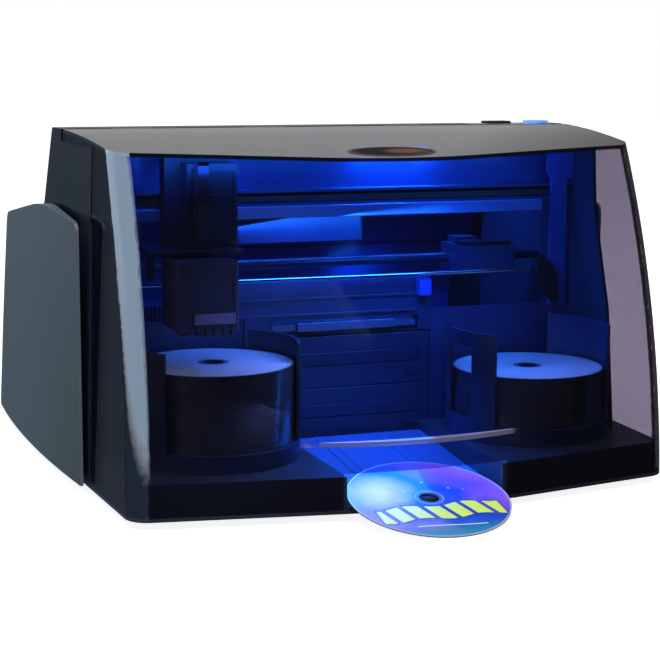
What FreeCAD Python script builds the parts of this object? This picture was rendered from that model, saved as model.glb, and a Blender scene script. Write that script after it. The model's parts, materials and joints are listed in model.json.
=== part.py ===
"""Disc label printer: disc bins, a picker robot, disc drives and a printer under one smoked cover.

Sizes are millimetres. X is the width (symmetry plane X = 0), Y runs from the front to the back and
Z is up from the table. The pieces are laid out with Y = 0 at the two front corners of the cover,
and each is moved by ORIGIN_Y when it is written, so that the origin is the middle of the footprint.
"""
import FreeCAD, Part
import math
import os

V = FreeCAD.Vector

# ---------------------------------------------------------------- driving sizes
# Discs and bins: the whole width follows from these
DISC_R = 60.0
DISC_HOLE_R = 7.5
DISC_T = 1.2
SHELL = 3.0              # wall of the cover, the housing and the base
FIT = 0.3                # clearance between pieces that stand apart
SLIDE_FIT = 0.2          # clearance of a sliding piece
RUN_FIT = 0.05           # radial clearance of a running fit
PLATE_T = 1.5            # sheet steel
BIN_IN_R = DISC_R + 2.5
BIN_WALL = 2.5
CHUTE_HALF = DISC_R + 1.5           # clear half width of the disc chute
CHUTE_WALL = 2.5
BIN_X = CHUTE_HALF + CHUTE_WALL + 2.0 + BIN_IN_R + BIN_WALL
PLATE_X = BIN_X + BIN_IN_R + BIN_WALL   # inner face of the inner side plates
PLATE_W = 2.5
BIN_Y = BIN_IN_R + 14.8
BIN_FLOOR = 45.0
BIN_TOP = 118.0
BIN_LEFT_ARC = (144.0, 221.0)       # the wall on the left of each bin, in degrees
BIN_RIGHT_ARC = (-25.0, 48.0)
BIN_SLOT_ARC = (172.0, 201.0)
BIN_SLOT_Z = (50.0, 106.0)
HUB_R = 22.0
HUB_BORE = 12.0
LEFT_DISCS = 48
RIGHT_DISCS = 33

# Shell
BACK_HALF = PLATE_X + 28.0          # half width behind the cover, at the foot
BACK_LEAN = 0.0205       # how much the sides draw in per mm of height
FRONT_HALF = BACK_HALF - 9.5        # half width at the front corners, at the foot
FRONT_LEAN = 0.0155      # how much the front corners draw in per mm of height
FACET_DEG = 9.8          # each half of the front turns back by this much
NOSE_HALF = 70.0         # half width of the rounded middle of the front
CORNER_R = 18.0          # round of the front corners in plan
FRONT_ARC_R = 620.0      # the front leans back along this arc
FRONT_ARC_Z = -9.0       # height at which that arc is upright
BODY_DEPTH = 430.0       # front corners to the back wall
TOP_FRONT = (30.0, 255.4)
TOP_MID = (110.0, 266.4)
TOP_CREST = (190.0, 271.6)
TOP_BACK_Y = 228.0       # where the flat top ends
HOOD_FRONT = (262.0, 206.0)
HOOD_BACK = (BODY_DEPTH - 78.0, 192.0)
BACK_WALL_TOP = 98.0     # top of the upright part of the back wall
TOP_BACK_R = 6.0         # rounding behind the flat top
HOOD_R = 14.0            # rounding of the hood's bends
RIB_Y = (BODY_DEPTH - 64.0, BODY_DEPTH - 30.0)    # grooves in the hood's slope
RIB_DEPTH = 1.2
VENT_X = (-104.0, 16.0)  # slots in the back wall
VENT_Z = (66.0, 90.0)
VENT_W = 3.0

# Base
FOOT_H = 6.0
FOOT_R = 11.0
FOOT_X = PLATE_X - 11.0
FOOT_Y = (42.0, BODY_DEPTH - 32.0)
FLANGE_H = 2.2           # rim of the base that the cover closes on
DECK_Z = 32.0            # top of the deck
DECK_BACK = BIN_Y + BIN_IN_R + 0.2  # the deck ends here, behind the bins
CHUTE_SILL = 10.4        # top of the base's rim across the chute
NOTCH_HALF = CHUTE_HALF + 3.5       # cut-out in the cover over the chute
NOTCH_TOP = 35.0
LOUVRE_Y = (BODY_DEPTH - 94.0, BODY_DEPTH - 38.0)
LOUVRE_W = 4.0

# Cover
COVER_BACK = 185.5       # back edge of the cover's top
COVER_SIDE_BACK = (105.0, 132.5)     # back edges of the cover's left and right sides
SIDE_TOP = 262.0         # top of the housing's side walls, under the cover
HOUSING_TOP_Y = 192.5    # front edge of the housing's own top
HINGE_Y = 189.0
HINGE_DROP = 3.3         # hinge axis below the crest
HINGE_R = 2.0
KNUCKLE_R = 3.3
KNUCKLE_W = 14.0
KNUCKLE_X = (60.0, PLATE_X - 26.0)
LIP_HALF = 82.0          # finger lip across the front of the cover
LIP_Z = 55.0
LIP_T = 3.2
LIP_OUT = 6.5
BADGE_Y = 49.0
BADGE_A = 35.0           # half length and half width of the oval plate
BADGE_B = 15.5
BADGE_SINK = 0.9
BADGE_PROUD = 0.4

# Side panels
PANEL_GAP = 2.5          # from the cover's sides to the housing and its panels
PANEL_BACK = BODY_DEPTH + SHELL
PANEL_IN = BACK_HALF + FIT
PANEL_BOW = (2.8, 12.0, 7.5)        # how far the panel stands out at its front, widest place and back
PANEL_Z = 8.0
PANEL_WIDEST_Y = BODY_DEPTH - 144.0
PANEL_WALL = 2.5
PANEL_RIM = 9.0          # width of the solid rim round each panel's hollow
PANEL_CORNER_Z = 206.0
PANEL_BROW = (205.0, 214.0)
PANEL_HEEL = (HOOD_BACK[0] - 4.0, 194.0)
PANEL_POSTS = ((160.0, 60.0), (160.0, 170.0),
               (PANEL_HEEL[0] - 18.0, 60.0), (PANEL_HEEL[0] - 48.0, 160.0))
POST_R = 5.0

# Controls
STRIP_X = (PLATE_X - 60.0, PLATE_X + 18.5)
STRIP_Y = (198.0, 222.0)
STRIP_T = 1.5
POWER_X = PLATE_X + 5.5
POWER_R = 11.0
REJECT_X = PLATE_X - 32.5
REJECT_SIZE = (22.0, 13.0)
BUTTON_Y = 0.5 * (STRIP_Y[0] + STRIP_Y[1])
BUTTON_PROUD = 2.2
BUTTON_RIM = 1.5
BUTTON_TRAVEL = 1.5
BOARD_TOP = 260.0        # top of the board under the buttons
POST_INSET = 3.0         # its screw posts stand this far inside the strip's long edges

# Rail and robot
RAIL_Y = (BIN_Y + 48.7, BIN_Y + 54.7)
RAIL_Z = (203.5, 213.0)
RAIL_X = (10.0 - PLATE_X, PLATE_X - 30.0)
BEAM_BACK = RAIL_Y[1] + 18.0
BEAM_Z = (203.0, 225.0)
BEAM_WALL = 2.0
BRACKET_X = (PLATE_X - 20.0, PLATE_X - 5.5)
BRACKET_Z = (124.0, 229.0)
BRACKET_TAB = (PLATE_X - 24.0, 256.0)
TIE_ROD_Z = 154.0
TIE_ROD_R = 1.6
PULLEY_R = 4.3
PULLEY_H = 5.6
PULLEY_Y = RAIL_Y[1] + 8.0
PULLEY_X = (18.0 - PLATE_X, PLATE_X - 12.0)
PULLEY_PIN_R = 1.5
BELT_T = 0.8
BELT_W = 5.0
MOTOR_R = 7.6
MOTOR_H = 34.0
TOWER_TOP = 253.0
TOWER_BOTTOM = 186.0
TOWER_BACK_X = (-BIN_X - 27.0, -BIN_X + 25.0)
TOWER_X = (-BIN_X - 14.0, -BIN_X + 25.0)
TOWER_Y = (BIN_Y + 17.7, BIN_Y + 34.7)
FOOT_PLATE_X = (-BIN_X - 45.0, -BIN_X + 25.0)
FOOT_PLATE_T = 3.0
HEAD_X = (-BIN_X - 34.0, -BIN_X + 12.0)
HEAD_Y = (BIN_Y - 27.3, BIN_Y + 17.7)
HEAD_Z = (130.0, 181.0)
HEAD_WALL = 2.5
BAR_X = (-BIN_X - 7.5, -BIN_X + 1.0)
BAR_Y = (BIN_Y + 11.0, BIN_Y + 17.3)
GRIP_X = -BIN_X
GRIP_R = 6.4
GRIP_DROP = 6.0          # the gripper stands below the head by this much
SLEEVE_H = 24.0          # guide tube of the gripper inside the head

# Chute
RAMP_BACK = (DECK_BACK - 8.0, 25.5)
RAMP_LIP = (-25.0, 12.6)
RAMP_T = 2.0
EJECT_AT = (-1.0, -29.5, 13.2)      # middle of the disc that has slid out
EJECT_TILT = 12.0

# Drives and printer
DRIVE_HALF = 73.0
DRIVE_H = 41.3
DRIVE_PITCH = 42.5
DRIVE_Z = 21.2
BULK_Y = (DECK_BACK + 3.0, DECK_BACK + 5.5)
BEZEL_FRONT = BULK_Y[0]
DRIVE_Y = (BEZEL_FRONT + 4.0, BEZEL_FRONT + 172.0)
BEZEL_HALF = DRIVE_HALF + 1.0
EJECT_X = 58.0           # middle of a drive's eject button
TRAY_HALF = DISC_R + 2.0
TRAY_LEN = 142.0
TRAY_MIDDLE = BEZEL_FRONT + DISC_R + 10.6   # middle of the disc in a closed tray
TRAY_LIFT = 18.5         # tray mouth above the drive's underside
TRAY_MOUTH_H = 11.0
TRAY_T = 6.0
SHEET = 0.8
DRIVE_RAIL_H = 4.0       # ledge that a tray's edge runs on
BULK_HALF = PLATE_X - 8.0
BULK_TOP = 124.0
BULK_MID = (-98.0, 74.0, 151.0)
PRINT_TRAY_Z = 110.6
PRINT_TRAY_T = 5.6
PRINT_BAR_HALF = 42.0
GUIDE_ROD = (BULK_Y[1] + 44.5, 160.0)
GUIDE_ROD_R = 4.0
CARRIAGE_X = (PLATE_X - 86.0, PLATE_X - 38.0)

# Electrics
FAN = (60.0, 62.0, 58.0, 15.0)      # x, z of its middle, its size and its depth
INLET = (-140.0, 52.0, 28.0, 21.0)  # x, z of its middle, its width and height
BOARD_X = (82.0, 186.0)
BOARD_Y = (BODY_DEPTH - 215.0, BODY_DEPTH - 22.0)
BOARD_Z = 35.0
PORT_X = 128.0                      # middle of the data socket
PORT_SIZE = (13.0, 12.0, 18.0)      # width, height and depth of the data socket
SUPPLY_X = (-176.0, -82.0)
SUPPLY_Y = (BODY_DEPTH - 112.0, BODY_DEPTH - 32.0)
SUPPLY_TOP = 60.0
SUPPLY_WALL = 1.0

ORIGIN_Y = 0.5 * (PANEL_BACK + EJECT_AT[1] - DISC_R * math.cos(math.radians(EJECT_TILT)))


# ---------------------------------------------------------------- helpers
def box(x0, x1, y0, y1, z0, z1):
    return Part.makeBox(x1 - x0, y1 - y0, z1 - z0, V(x0, y0, z0))


def rod(x, y, z, r, length, axis="z"):
    way = {"x": V(1, 0, 0), "y": V(0, 1, 0), "z": V(0, 0, 1)}[axis]
    return Part.makeCylinder(r, length, V(x, y, z), way)


def rounded_edges(points, closed):
    """Edges through points (a, b, r), where r rounds that corner."""
    count = len(points)
    marks = []
    for i, (a, b, r) in enumerate(points):
        here = V(a, b, 0)
        if r <= 0:
            marks.append((here, here, None))
            continue
        back = (V(*points[i - 1][:2], 0) - here).normalize()
        on = (V(*points[(i + 1) % count][:2], 0) - here).normalize()
        half = 0.5 * back.getAngle(on)
        reach = r / math.tan(half)
        inward = (back + on).normalize()
        crown = here + inward * (r / math.sin(half) - r)
        marks.append((here + back * reach, here + on * reach, crown))
    edges = []
    for i, (start, end, crown) in enumerate(marks):
        if crown is not None:
            edges.append(Part.Arc(start, crown, end).toShape())
        if i == count - 1 and not closed:
            break
        following = marks[(i + 1) % count][0]
        if (following - end).Length > 1e-6:
            edges.append(Part.makeLine(end, following))
    return edges


def loop_of(points):
    return Part.Wire(rounded_edges(points, True))


def prism_z(points, z0, z1):
    face = Part.Face(loop_of(points))
    face.translate(V(0, 0, z0))
    return face.extrude(V(0, 0, z1 - z0))


def stand_up(shape):
    """Turn a flat shape drawn in (Y, Z) as its two numbers into the YZ plane."""
    turned = shape.copy()
    turned.transformShape(FreeCAD.Matrix(0, 0, 1, 0, 1, 0, 0, 0, 0, 1, 0, 0, 0, 0, 0, 1))
    return turned


def prism_x(points, x0, x1):
    face = stand_up(Part.Face(loop_of(points)))
    face.translate(V(x0, 0, 0))
    return face.extrude(V(x1 - x0, 0, 0))


def mirrored(shape):
    return shape.mirror(V(0, 0, 0), V(1, 0, 0))


def join(first, *others):
    return first.fuse(list(others)).removeSplitter()


def cut(first, *others):
    return first.cut(list(others)).removeSplitter()


PARTS = {}


def put(name, *solids):
    shape = solids[0] if len(solids) == 1 else Part.makeCompound(list(solids))
    PARTS[name] = shape


# ---------------------------------------------------------------- shell surfaces
def front_setback(z):
    return FRONT_ARC_R - math.sqrt(FRONT_ARC_R ** 2 - (z - FRONT_ARC_Z) ** 2)


def shell_outline(z, inset):
    """Plan of the body at height z, drawn in by inset."""
    turn = math.radians(FACET_DEG)
    x_front = FRONT_HALF - (z - FOOT_H) * FRONT_LEAN
    x_back = BACK_HALF - (z - FOOT_H) * BACK_LEAN
    y_front = front_setback(z)
    corner = V(x_front, y_front, 0)
    along_front = V(-math.cos(turn), -math.sin(turn), 0)
    out_front = V(math.sin(turn), -math.cos(turn), 0)
    along_side = (V(x_back, COVER_BACK, 0) - corner).normalize()
    out_side = V(along_side.y, -along_side.x, 0)
    on_front = corner - out_front * inset
    on_side = corner - out_side * inset
    # where the two drawn-in lines meet
    gap = on_side - on_front
    cross = along_front.x * along_side.y - along_front.y * along_side.x
    step = (gap.x * along_side.y - gap.y * along_side.x) / cross
    meet = on_front + along_front * step
    knee = on_side + along_side * ((COVER_BACK - on_side.y) / along_side.y)

    radius = CORNER_R - inset
    half = 0.5 * along_front.getAngle(along_side)
    reach = radius / math.tan(half)
    inward = (along_front + along_side).normalize()
    front_end = meet + along_front * reach
    side_end = meet + along_side * reach
    crown = meet + inward * (radius / math.sin(half) - radius)

    nose_r = NOSE_HALF / math.sin(turn)
    nose_y = y_front - (x_front - NOSE_HALF) * math.tan(turn) + nose_r * math.cos(turn)
    nose_r = nose_r - inset
    nose_end = V(nose_r * math.sin(turn), nose_y - nose_r * math.cos(turn), 0)
    nose_tip = V(0, nose_y - nose_r, 0)
    far = V(knee.x, BODY_DEPTH + 2 * SHELL, 0)

    def left(point):
        return V(-point.x, point.y, 0)

    edges = [
        Part.makeLine(far, knee),
        Part.makeLine(knee, side_end),
        Part.Arc(side_end, crown, front_end).toShape(),
        Part.makeLine(front_end, nose_end),
        Part.Arc(nose_end, nose_tip, left(nose_end)).toShape(),
        Part.makeLine(left(nose_end), left(front_end)),
        Part.Arc(left(front_end), left(crown), left(side_end)).toShape(),
        Part.makeLine(left(side_end), left(knee)),
        Part.makeLine(left(knee), left(far)),
        Part.makeLine(left(far), far),
    ]
    wire = Part.Wire(edges)
    wire.translate(V(0, 0, z))
    return wire


SHELL_HEIGHTS = [FOOT_H + i * 0.25 * (TOP_CREST[1] + 2 * SHELL - FOOT_H) for i in range(5)]


def shell_body(inset):
    return Part.makeLoft([shell_outline(z, inset) for z in SHELL_HEIGHTS], True, False)


def top_circle():
    """Centre and radius of the arc that the top follows from front to back."""
    (ay, az), (by, bz), (cy, cz) = TOP_FRONT, TOP_MID, TOP_CREST
    d = 2 * (ay * (bz - cz) + by * (cz - az) + cy * (az - bz))
    a2, b2, c2 = ay ** 2 + az ** 2, by ** 2 + bz ** 2, cy ** 2 + cz ** 2
    y = (a2 * (bz - cz) + b2 * (cz - az) + c2 * (az - bz)) / d
    z = (a2 * (cy - by) + b2 * (ay - cy) + c2 * (by - ay)) / d
    return y, z, math.hypot(ay - y, az - z)


def top_height(y, inset=0.0):
    mid_y, mid_z, radius = top_circle()
    reach = min(y, TOP_CREST[0]) - mid_y
    return mid_z + math.sqrt((radius - inset) ** 2 - reach ** 2)


def drawn_in(points, inset):
    """Move each straight run of an open path to its right-hand side by inset."""
    runs = []
    for (ay, az), (by, bz) in zip(points, points[1:]):
        length = math.hypot(by - ay, bz - az)
        way = ((by - ay) / length, (bz - az) / length)
        start = (ay + way[1] * inset, az - way[0] * inset)
        runs.append((start, way, length))
    moved = [runs[0][0]]
    for (p, u, _), (q, w, _) in zip(runs, runs[1:]):
        cross = u[0] * w[1] - u[1] * w[0]
        step = ((q[0] - p[0]) * w[1] - (q[1] - p[1]) * w[0]) / cross
        moved.append((p[0] + u[0] * step, p[1] + u[1] * step))
    start, way, length = runs[-1]
    moved.append((start[0] + way[0] * length, start[1] + way[1] * length))
    return moved


FAR_FRONT = -80.0        # in front of every piece of the shell


def below_top(inset, low=0.0):
    """Everything under the top, the hood and the back wall, drawn in by inset."""
    crest = (TOP_CREST[0], top_height(TOP_CREST[0], inset))
    run = [TOP_CREST, (TOP_BACK_Y, TOP_CREST[1]), HOOD_FRONT, HOOD_BACK,
           (BODY_DEPTH, BACK_WALL_TOP), (BODY_DEPTH, low)]
    moved = drawn_in(run, inset)
    rounds = [0.0, TOP_BACK_R, HOOD_R, HOOD_R, HOOD_R, 0.0]
    corners = [(y, z, r) for (y, z), r in zip(moved, rounds)]
    corners[0] = (*crest, 0.0)
    start = V(FAR_FRONT, top_height(FAR_FRONT, inset), 0)
    middle_y = 0.5 * (FAR_FRONT + TOP_CREST[0])
    middle = V(middle_y, top_height(middle_y, inset), 0)
    edges = [Part.Arc(start, middle, V(*crest, 0)).toShape()]
    edges += rounded_edges(corners, False)
    last = V(*corners[-1][:2], 0)
    foot = V(FAR_FRONT, low, 0)
    edges += [Part.makeLine(last, foot), Part.makeLine(foot, start)]
    face = stand_up(Part.Face(Part.Wire(edges)))
    half = BACK_HALF + 4 * SHELL
    face.translate(V(-half, 0, 0))
    return face.extrude(V(2 * half, 0, 0))


def shell_solid(inset):
    return shell_body(inset).common(below_top(inset))


EVERYWHERE = 600.0


def slab(z0, z1, y0=FAR_FRONT, y1=EVERYWHERE):
    return box(-EVERYWHERE, EVERYWHERE, y0, y1, z0, z1)


def front_y(x, z):
    """Y of the shell's front face at x and height z."""
    turn = math.radians(FACET_DEG)
    x_front = FRONT_HALF - (z - FOOT_H) * FRONT_LEAN
    nose_r = NOSE_HALF / math.sin(turn)
    nose_y = front_setback(z) - (x_front - NOSE_HALF) * math.tan(turn) + nose_r * math.cos(turn)
    if abs(x) <= NOSE_HALF:
        return nose_y - math.sqrt(nose_r ** 2 - x ** 2)
    return front_setback(z) - (x_front - abs(x)) * math.tan(turn)


def behind_cover(z0, z1, gap):
    """Everything from gap behind the cover's sides to the back."""
    left, right = (y + gap for y in COVER_SIDE_BACK)
    return join(box(-EVERYWHERE, 0, left, EVERYWHERE, z0, z1),
                box(0, EVERYWHERE, right, EVERYWHERE, z0, z1))


# ---------------------------------------------------------------- shell pieces
def front_cover():
    outer = shell_solid(0)
    inner = shell_solid(SHELL)
    shell = outer.cut([inner,
                       slab(0, FOOT_H + FLANGE_H + FIT),
                       slab(0, EVERYWHERE, COVER_BACK),
                       behind_cover(0, SIDE_TOP + FIT, 0.0)])
    notch = box(-NOTCH_HALF, NOTCH_HALF, FAR_FRONT, BIN_Y, 0, NOTCH_TOP)
    badge_bed = oval(BADGE_A + FIT, BADGE_B + FIT).cut(below_top(BADGE_SINK))
    body = shell.cut([notch, badge_bed])
    return join(body, finger_lip(), *[cover_knuckle(x) for x in both(KNUCKLE_X)]).cut(
        rod(-BACK_HALF, HINGE_Y, HINGE_Z, HINGE_R + RUN_FIT, 2 * BACK_HALF, "x"))


def both(values):
    return [side * x for x in values for side in (-1, 1)]


def finger_lip():
    """Crescent ledge across the front: full depth in the middle, nothing at its ends."""
    base = front_y(LIP_HALF, LIP_Z) + 0.5 * SHELL
    end = front_y(LIP_HALF, LIP_Z) - 0.2
    tip = V(0, front_y(0, LIP_Z) - LIP_OUT, 0)
    inner_tip = V(0, front_y(0, LIP_Z) + 0.5 * SHELL, 0)
    edges = [
        Part.Arc(V(-LIP_HALF, end, 0), tip, V(LIP_HALF, end, 0)).toShape(),
        Part.makeLine(V(LIP_HALF, end, 0), V(LIP_HALF, base, 0)),
        Part.Arc(V(LIP_HALF, base, 0), inner_tip, V(-LIP_HALF, base, 0)).toShape(),
        Part.makeLine(V(-LIP_HALF, base, 0), V(-LIP_HALF, end, 0)),
    ]
    face = Part.Face(Part.Wire(edges))
    face.translate(V(0, 0, LIP_Z))
    return face.extrude(V(0, 0, LIP_T))


HINGE_Z = TOP_CREST[1] - HINGE_DROP


def cover_knuckle(x):
    barrel = rod(x, HINGE_Y, HINGE_Z, KNUCKLE_R, KNUCKLE_W, "x")
    tab = box(x, x + KNUCKLE_W, COVER_BACK - 2.5 * SHELL, HINGE_Y,
              HINGE_Z - KNUCKLE_R, top_height(COVER_BACK - 2.5 * SHELL, 0.5 * SHELL))
    return barrel.fuse(tab)


def oval(a, b):
    """Tall oval block over the badge's place."""
    curve = Part.Ellipse(V(0, BADGE_Y, 0), a, b).toShape()
    face = Part.Face(Part.Wire([curve]))
    face.translate(V(0, 0, DECK_Z))
    return face.extrude(V(0, 0, TOP_CREST[1]))


def badge_plate():
    return oval(BADGE_A, BADGE_B).common(below_top(-BADGE_PROUD)).cut(below_top(BADGE_SINK - FIT / 3))


def housing_knuckle(x):
    """Lug on the front edge of the housing's top, beside a knuckle of the cover."""
    width = 0.7 * KNUCKLE_W
    lug = rod(x, HINGE_Y, HINGE_Z, KNUCKLE_R, width, "x")
    tab = box(x, x + width, HINGE_Y, HOUSING_TOP_Y + SHELL, HINGE_Z - KNUCKLE_R, HINGE_Z + KNUCKLE_R)
    return lug.fuse(tab)


def housing_knuckles():
    lugs = []
    for x in both(KNUCKLE_X):
        lugs.append(housing_knuckle(x + KNUCKLE_W + SLIDE_FIT))
        lugs.append(housing_knuckle(x - SLIDE_FIT - 0.7 * KNUCKLE_W))
    return lugs


def rear_housing():
    outer = shell_solid(0)
    inner = shell_solid(SHELL)
    shell = outer.common(behind_cover(DECK_Z, EVERYWHERE, PANEL_GAP)).cut(
        [inner, slab(SIDE_TOP, EVERYWHERE, FAR_FRONT, HOUSING_TOP_Y)])
    shell = shell.fuse(housing_knuckles())
    shell = shell.fuse([rod(x, y, BOARD_TOP, 2.5, HOUSING_UNDER - BOARD_TOP) for x, y in CONTROL_POSTS])
    cuts = [rod(-BACK_HALF, HINGE_Y, HINGE_Z, HINGE_R + 0.01, 2 * BACK_HALF, "x")]
    cuts.append(box(STRIP_X[0] - FIT, STRIP_X[1] + FIT, STRIP_Y[0] - FIT, STRIP_Y[1] + FIT,
                    TOP_CREST[1] - STRIP_T, EVERYWHERE))
    cuts.append(rod(POWER_X, BUTTON_Y, HOUSING_UNDER - SHELL, POWER_R + SLIDE_FIT, 4 * SHELL))
    cuts.append(reject_block(HOUSING_UNDER - SHELL, EVERYWHERE, SLIDE_FIT))
    cuts += back_wall_openings()
    cuts += back_vents()
    cuts.append(hood_grooves())
    return shell.cut(cuts)


HOUSING_UNDER = TOP_CREST[1] - SHELL
BOARD_SPAN = (STRIP_X[0] + 1.0, STRIP_X[1] - 0.5)
CONTROL_POSTS = [(x, y) for x in (STRIP_X[0] + 5.0, 0.5 * (POWER_X + REJECT_X) - 0.5)
                 for y in (STRIP_Y[0] + POST_INSET, STRIP_Y[1] - POST_INSET)]


def reject_block(z0, z1, spare=0.0):
    half_x = 0.5 * REJECT_SIZE[0] + spare
    half_y = 0.5 * REJECT_SIZE[1] + spare
    return box(REJECT_X - half_x, REJECT_X + half_x, BUTTON_Y - half_y, BUTTON_Y + half_y, z0, z1)


def back_wall_openings():
    y0, y1 = BODY_DEPTH - 2 * SHELL, BODY_DEPTH + SHELL
    holes = []
    fan_x, fan_z, fan_size, _ = FAN
    rings = 4
    gap = 0.5 * fan_size / (rings + 0.5)
    spokes = [box(fan_x - 1.2, fan_x + 1.2, y0, y1, 0, EVERYWHERE),
              box(fan_x - fan_size, fan_x + fan_size, y0, y1, fan_z - 1.2, fan_z + 1.2)]
    for i in range(1, rings + 1):
        ring = rod(fan_x, y0, fan_z, i * gap, y1 - y0, "y").cut(
            rod(fan_x, y0, fan_z, i * gap - 0.62 * gap, y1 - y0, "y"))
        holes.append(ring.cut(spokes))
    x, z, width, height = INLET
    holes.append(box(x - 0.5 * width - FIT, x + 0.5 * width + FIT, y0, y1,
                     z - 0.5 * height - FIT, z + 0.5 * height + FIT))
    low = BOARD_Z + PLATE_T
    holes.append(box(PORT_X - 0.5 * PORT_SIZE[0] - FIT, PORT_X + 0.5 * PORT_SIZE[0] + FIT, y0, y1,
                     low - FIT, low + PORT_SIZE[1] + FIT))
    return holes


def hood_grooves():
    """Two rows of shallow grooves across the hood's slope."""
    grooves = [box(x - 2.0, x + 2.0, *RIB_Y, BACK_WALL_TOP, EVERYWHERE)
               for x in both([60.0 + 13.0 * i for i in range(9)])]
    return Part.makeCompound(grooves).cut(below_top(RIB_DEPTH))


def back_vents():
    """Row of slots in the back wall, beside the fan."""
    count = 16
    step = (VENT_X[1] - VENT_X[0]) / (count - 1)
    return [box(VENT_X[0] + i * step - 0.5 * VENT_W, VENT_X[0] + i * step + 0.5 * VENT_W,
                BODY_DEPTH - 2 * SHELL, BODY_DEPTH + SHELL, *VENT_Z) for i in range(count)]


def base_tray():
    inside = SHELL + FIT + 0.2
    skirt = shell_body(inside).common(slab(FOOT_H, DECK_Z, FAR_FRONT, BODY_DEPTH))
    rear = shell_body(0).common(slab(FOOT_H, DECK_Z, FAR_FRONT, BODY_DEPTH)).common(
        behind_cover(FOOT_H, DECK_Z, PANEL_GAP - 0.5))
    flange = shell_body(0).common(slab(FOOT_H, FOOT_H + FLANGE_H, FAR_FRONT, BODY_DEPTH))
    whole = skirt.fuse([rear, flange])
    core = shell_body(inside + SHELL)
    under_deck = core.common(slab(0, DECK_Z - SHELL, FAR_FRONT, BODY_DEPTH - SHELL))
    behind = core.common(slab(0, DECK_Z + SHELL, DECK_BACK, BODY_DEPTH - SHELL))
    wall = CHUTE_HALF + CHUTE_WALL
    channel = box(-CHUTE_HALF, CHUTE_HALF, FAR_FRONT, DECK_BACK + SHELL, CHUTE_SILL, EVERYWHERE)
    tray = whole.cut([under_deck, behind])
    cheek = box(CHUTE_HALF, wall, front_y(wall, FOOT_H) + inside + 1.0, DECK_BACK - SLIDE_FIT,
                PLATE_TOP, DECK_Z - 0.5 * SHELL)
    return join(tray, cheek, mirrored(cheek)).cut(channel)


PLATE_LOW = FOOT_H + 0.2
PLATE_TOP = PLATE_LOW + PLATE_T


def bottom_plate():
    reach = 2 * SHELL + 2 * FIT + 0.2
    plate = shell_body(reach).common(slab(PLATE_LOW, PLATE_TOP, FAR_FRONT, BODY_DEPTH - SHELL - FIT))
    louvres = [box(x, x + LOUVRE_W, *LOUVRE_Y, 0, DECK_Z) for x in range(-60, 61, 12)]
    return plate.cut(louvres)


def rubber_feet():
    feet = []
    for y in FOOT_Y:
        for x in (-FOOT_X, FOOT_X):
            foot = rod(x, y, 0, FOOT_R, PLATE_LOW)
            rim = [e for e in foot.Edges if abs(e.BoundBox.ZMax) < 1e-6 and e.BoundBox.XLength > FOOT_R]
            foot = foot.makeFillet(1.2, rim[:1])
            feet.append(foot)
    return feet


def bowed_block(y_front, x_in, inset):
    """Tall block from x_in out to a panel's bowed face, drawn in by inset."""
    front, middle, back = (BACK_HALF + bow - inset for bow in PANEL_BOW)
    corners = [V(x_in, y_front, 0), V(front, y_front, 0),
               V(back, PANEL_BACK, 0), V(x_in, PANEL_BACK, 0)]
    bow = Part.Arc(corners[1], V(middle, PANEL_WIDEST_Y, 0), corners[2]).toShape()
    plan = Part.Wire([Part.makeLine(corners[0], corners[1]), bow,
                      Part.makeLine(corners[2], corners[3]), Part.makeLine(corners[3], corners[0])])
    return Part.Face(plan).extrude(V(0, 0, EVERYWHERE))


def side_panel(y_front):
    """Right-hand outer panel: bowed in plan, hollow behind, with posts that reach the housing."""
    inside = PANEL_IN - 4 * PANEL_WALL
    hollow = bowed_block(y_front, inside, PANEL_WALL).common(panel_side(y_front, PANEL_RIM))
    panel = bowed_block(y_front, PANEL_IN, 0.0).common(panel_side(y_front, 0.0)).cut(hollow)
    bars = [rod(inside, y, z, POST_R, BACK_HALF + PANEL_BOW[1] - inside, "x") for y, z in PANEL_POSTS]
    posts = bowed_block(y_front, inside, 0.5 * PANEL_WALL).common(Part.makeCompound(bars))
    return join(panel, posts).cut(shell_body(0))


def panel_side(y_front, shrink):
    """Block with the side view of an outer panel, drawn in by shrink."""
    points = [(y_front, PANEL_Z), (y_front, PANEL_CORNER_Z), PANEL_BROW, PANEL_HEEL,
              (PANEL_BACK, PANEL_Z)]
    rounds = [0.0, 8.0, 240.0, 16.0, 3.0]
    ring = drawn_in(points[-1:] + points + points[:1], shrink)[1:-1]
    corners = [(y, z, r) for (y, z), r in zip(ring, rounds)]
    return prism_x(corners, 0, EVERYWHERE)


def inner_plate():
    """Right-hand inner plate: it carries the rail, the rods and the upper panel."""
    hood_y, hood_z = HOOD_FRONT
    low = BOARD_TOP - 2 * SHELL + FIT
    outline = [(56.0, DECK_Z, 0), (68.0, 128.0, 0), (93.0, hood_z, 30.0), (98.0, SIDE_TOP, 3.0),
               (TOP_CREST[0], SIDE_TOP + 4.5, 0), (TOP_CREST[0] + 4.0, low, 0),
               (TOP_BACK_Y - 1.0, low, 0), (hood_y - 11.0, hood_z, 0), (hood_y - 4.0, hood_z - 8.0, 0),
               (hood_y + 40.0, hood_z - 16.0, 6.0), (hood_y + 40.0, PLATE_TOP, 0),
               (DECK_BACK + FIT, PLATE_TOP, 0), (DECK_BACK + FIT, DECK_Z, 0)]
    return prism_x(outline, PLATE_X, PLATE_X + PLATE_W)


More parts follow.
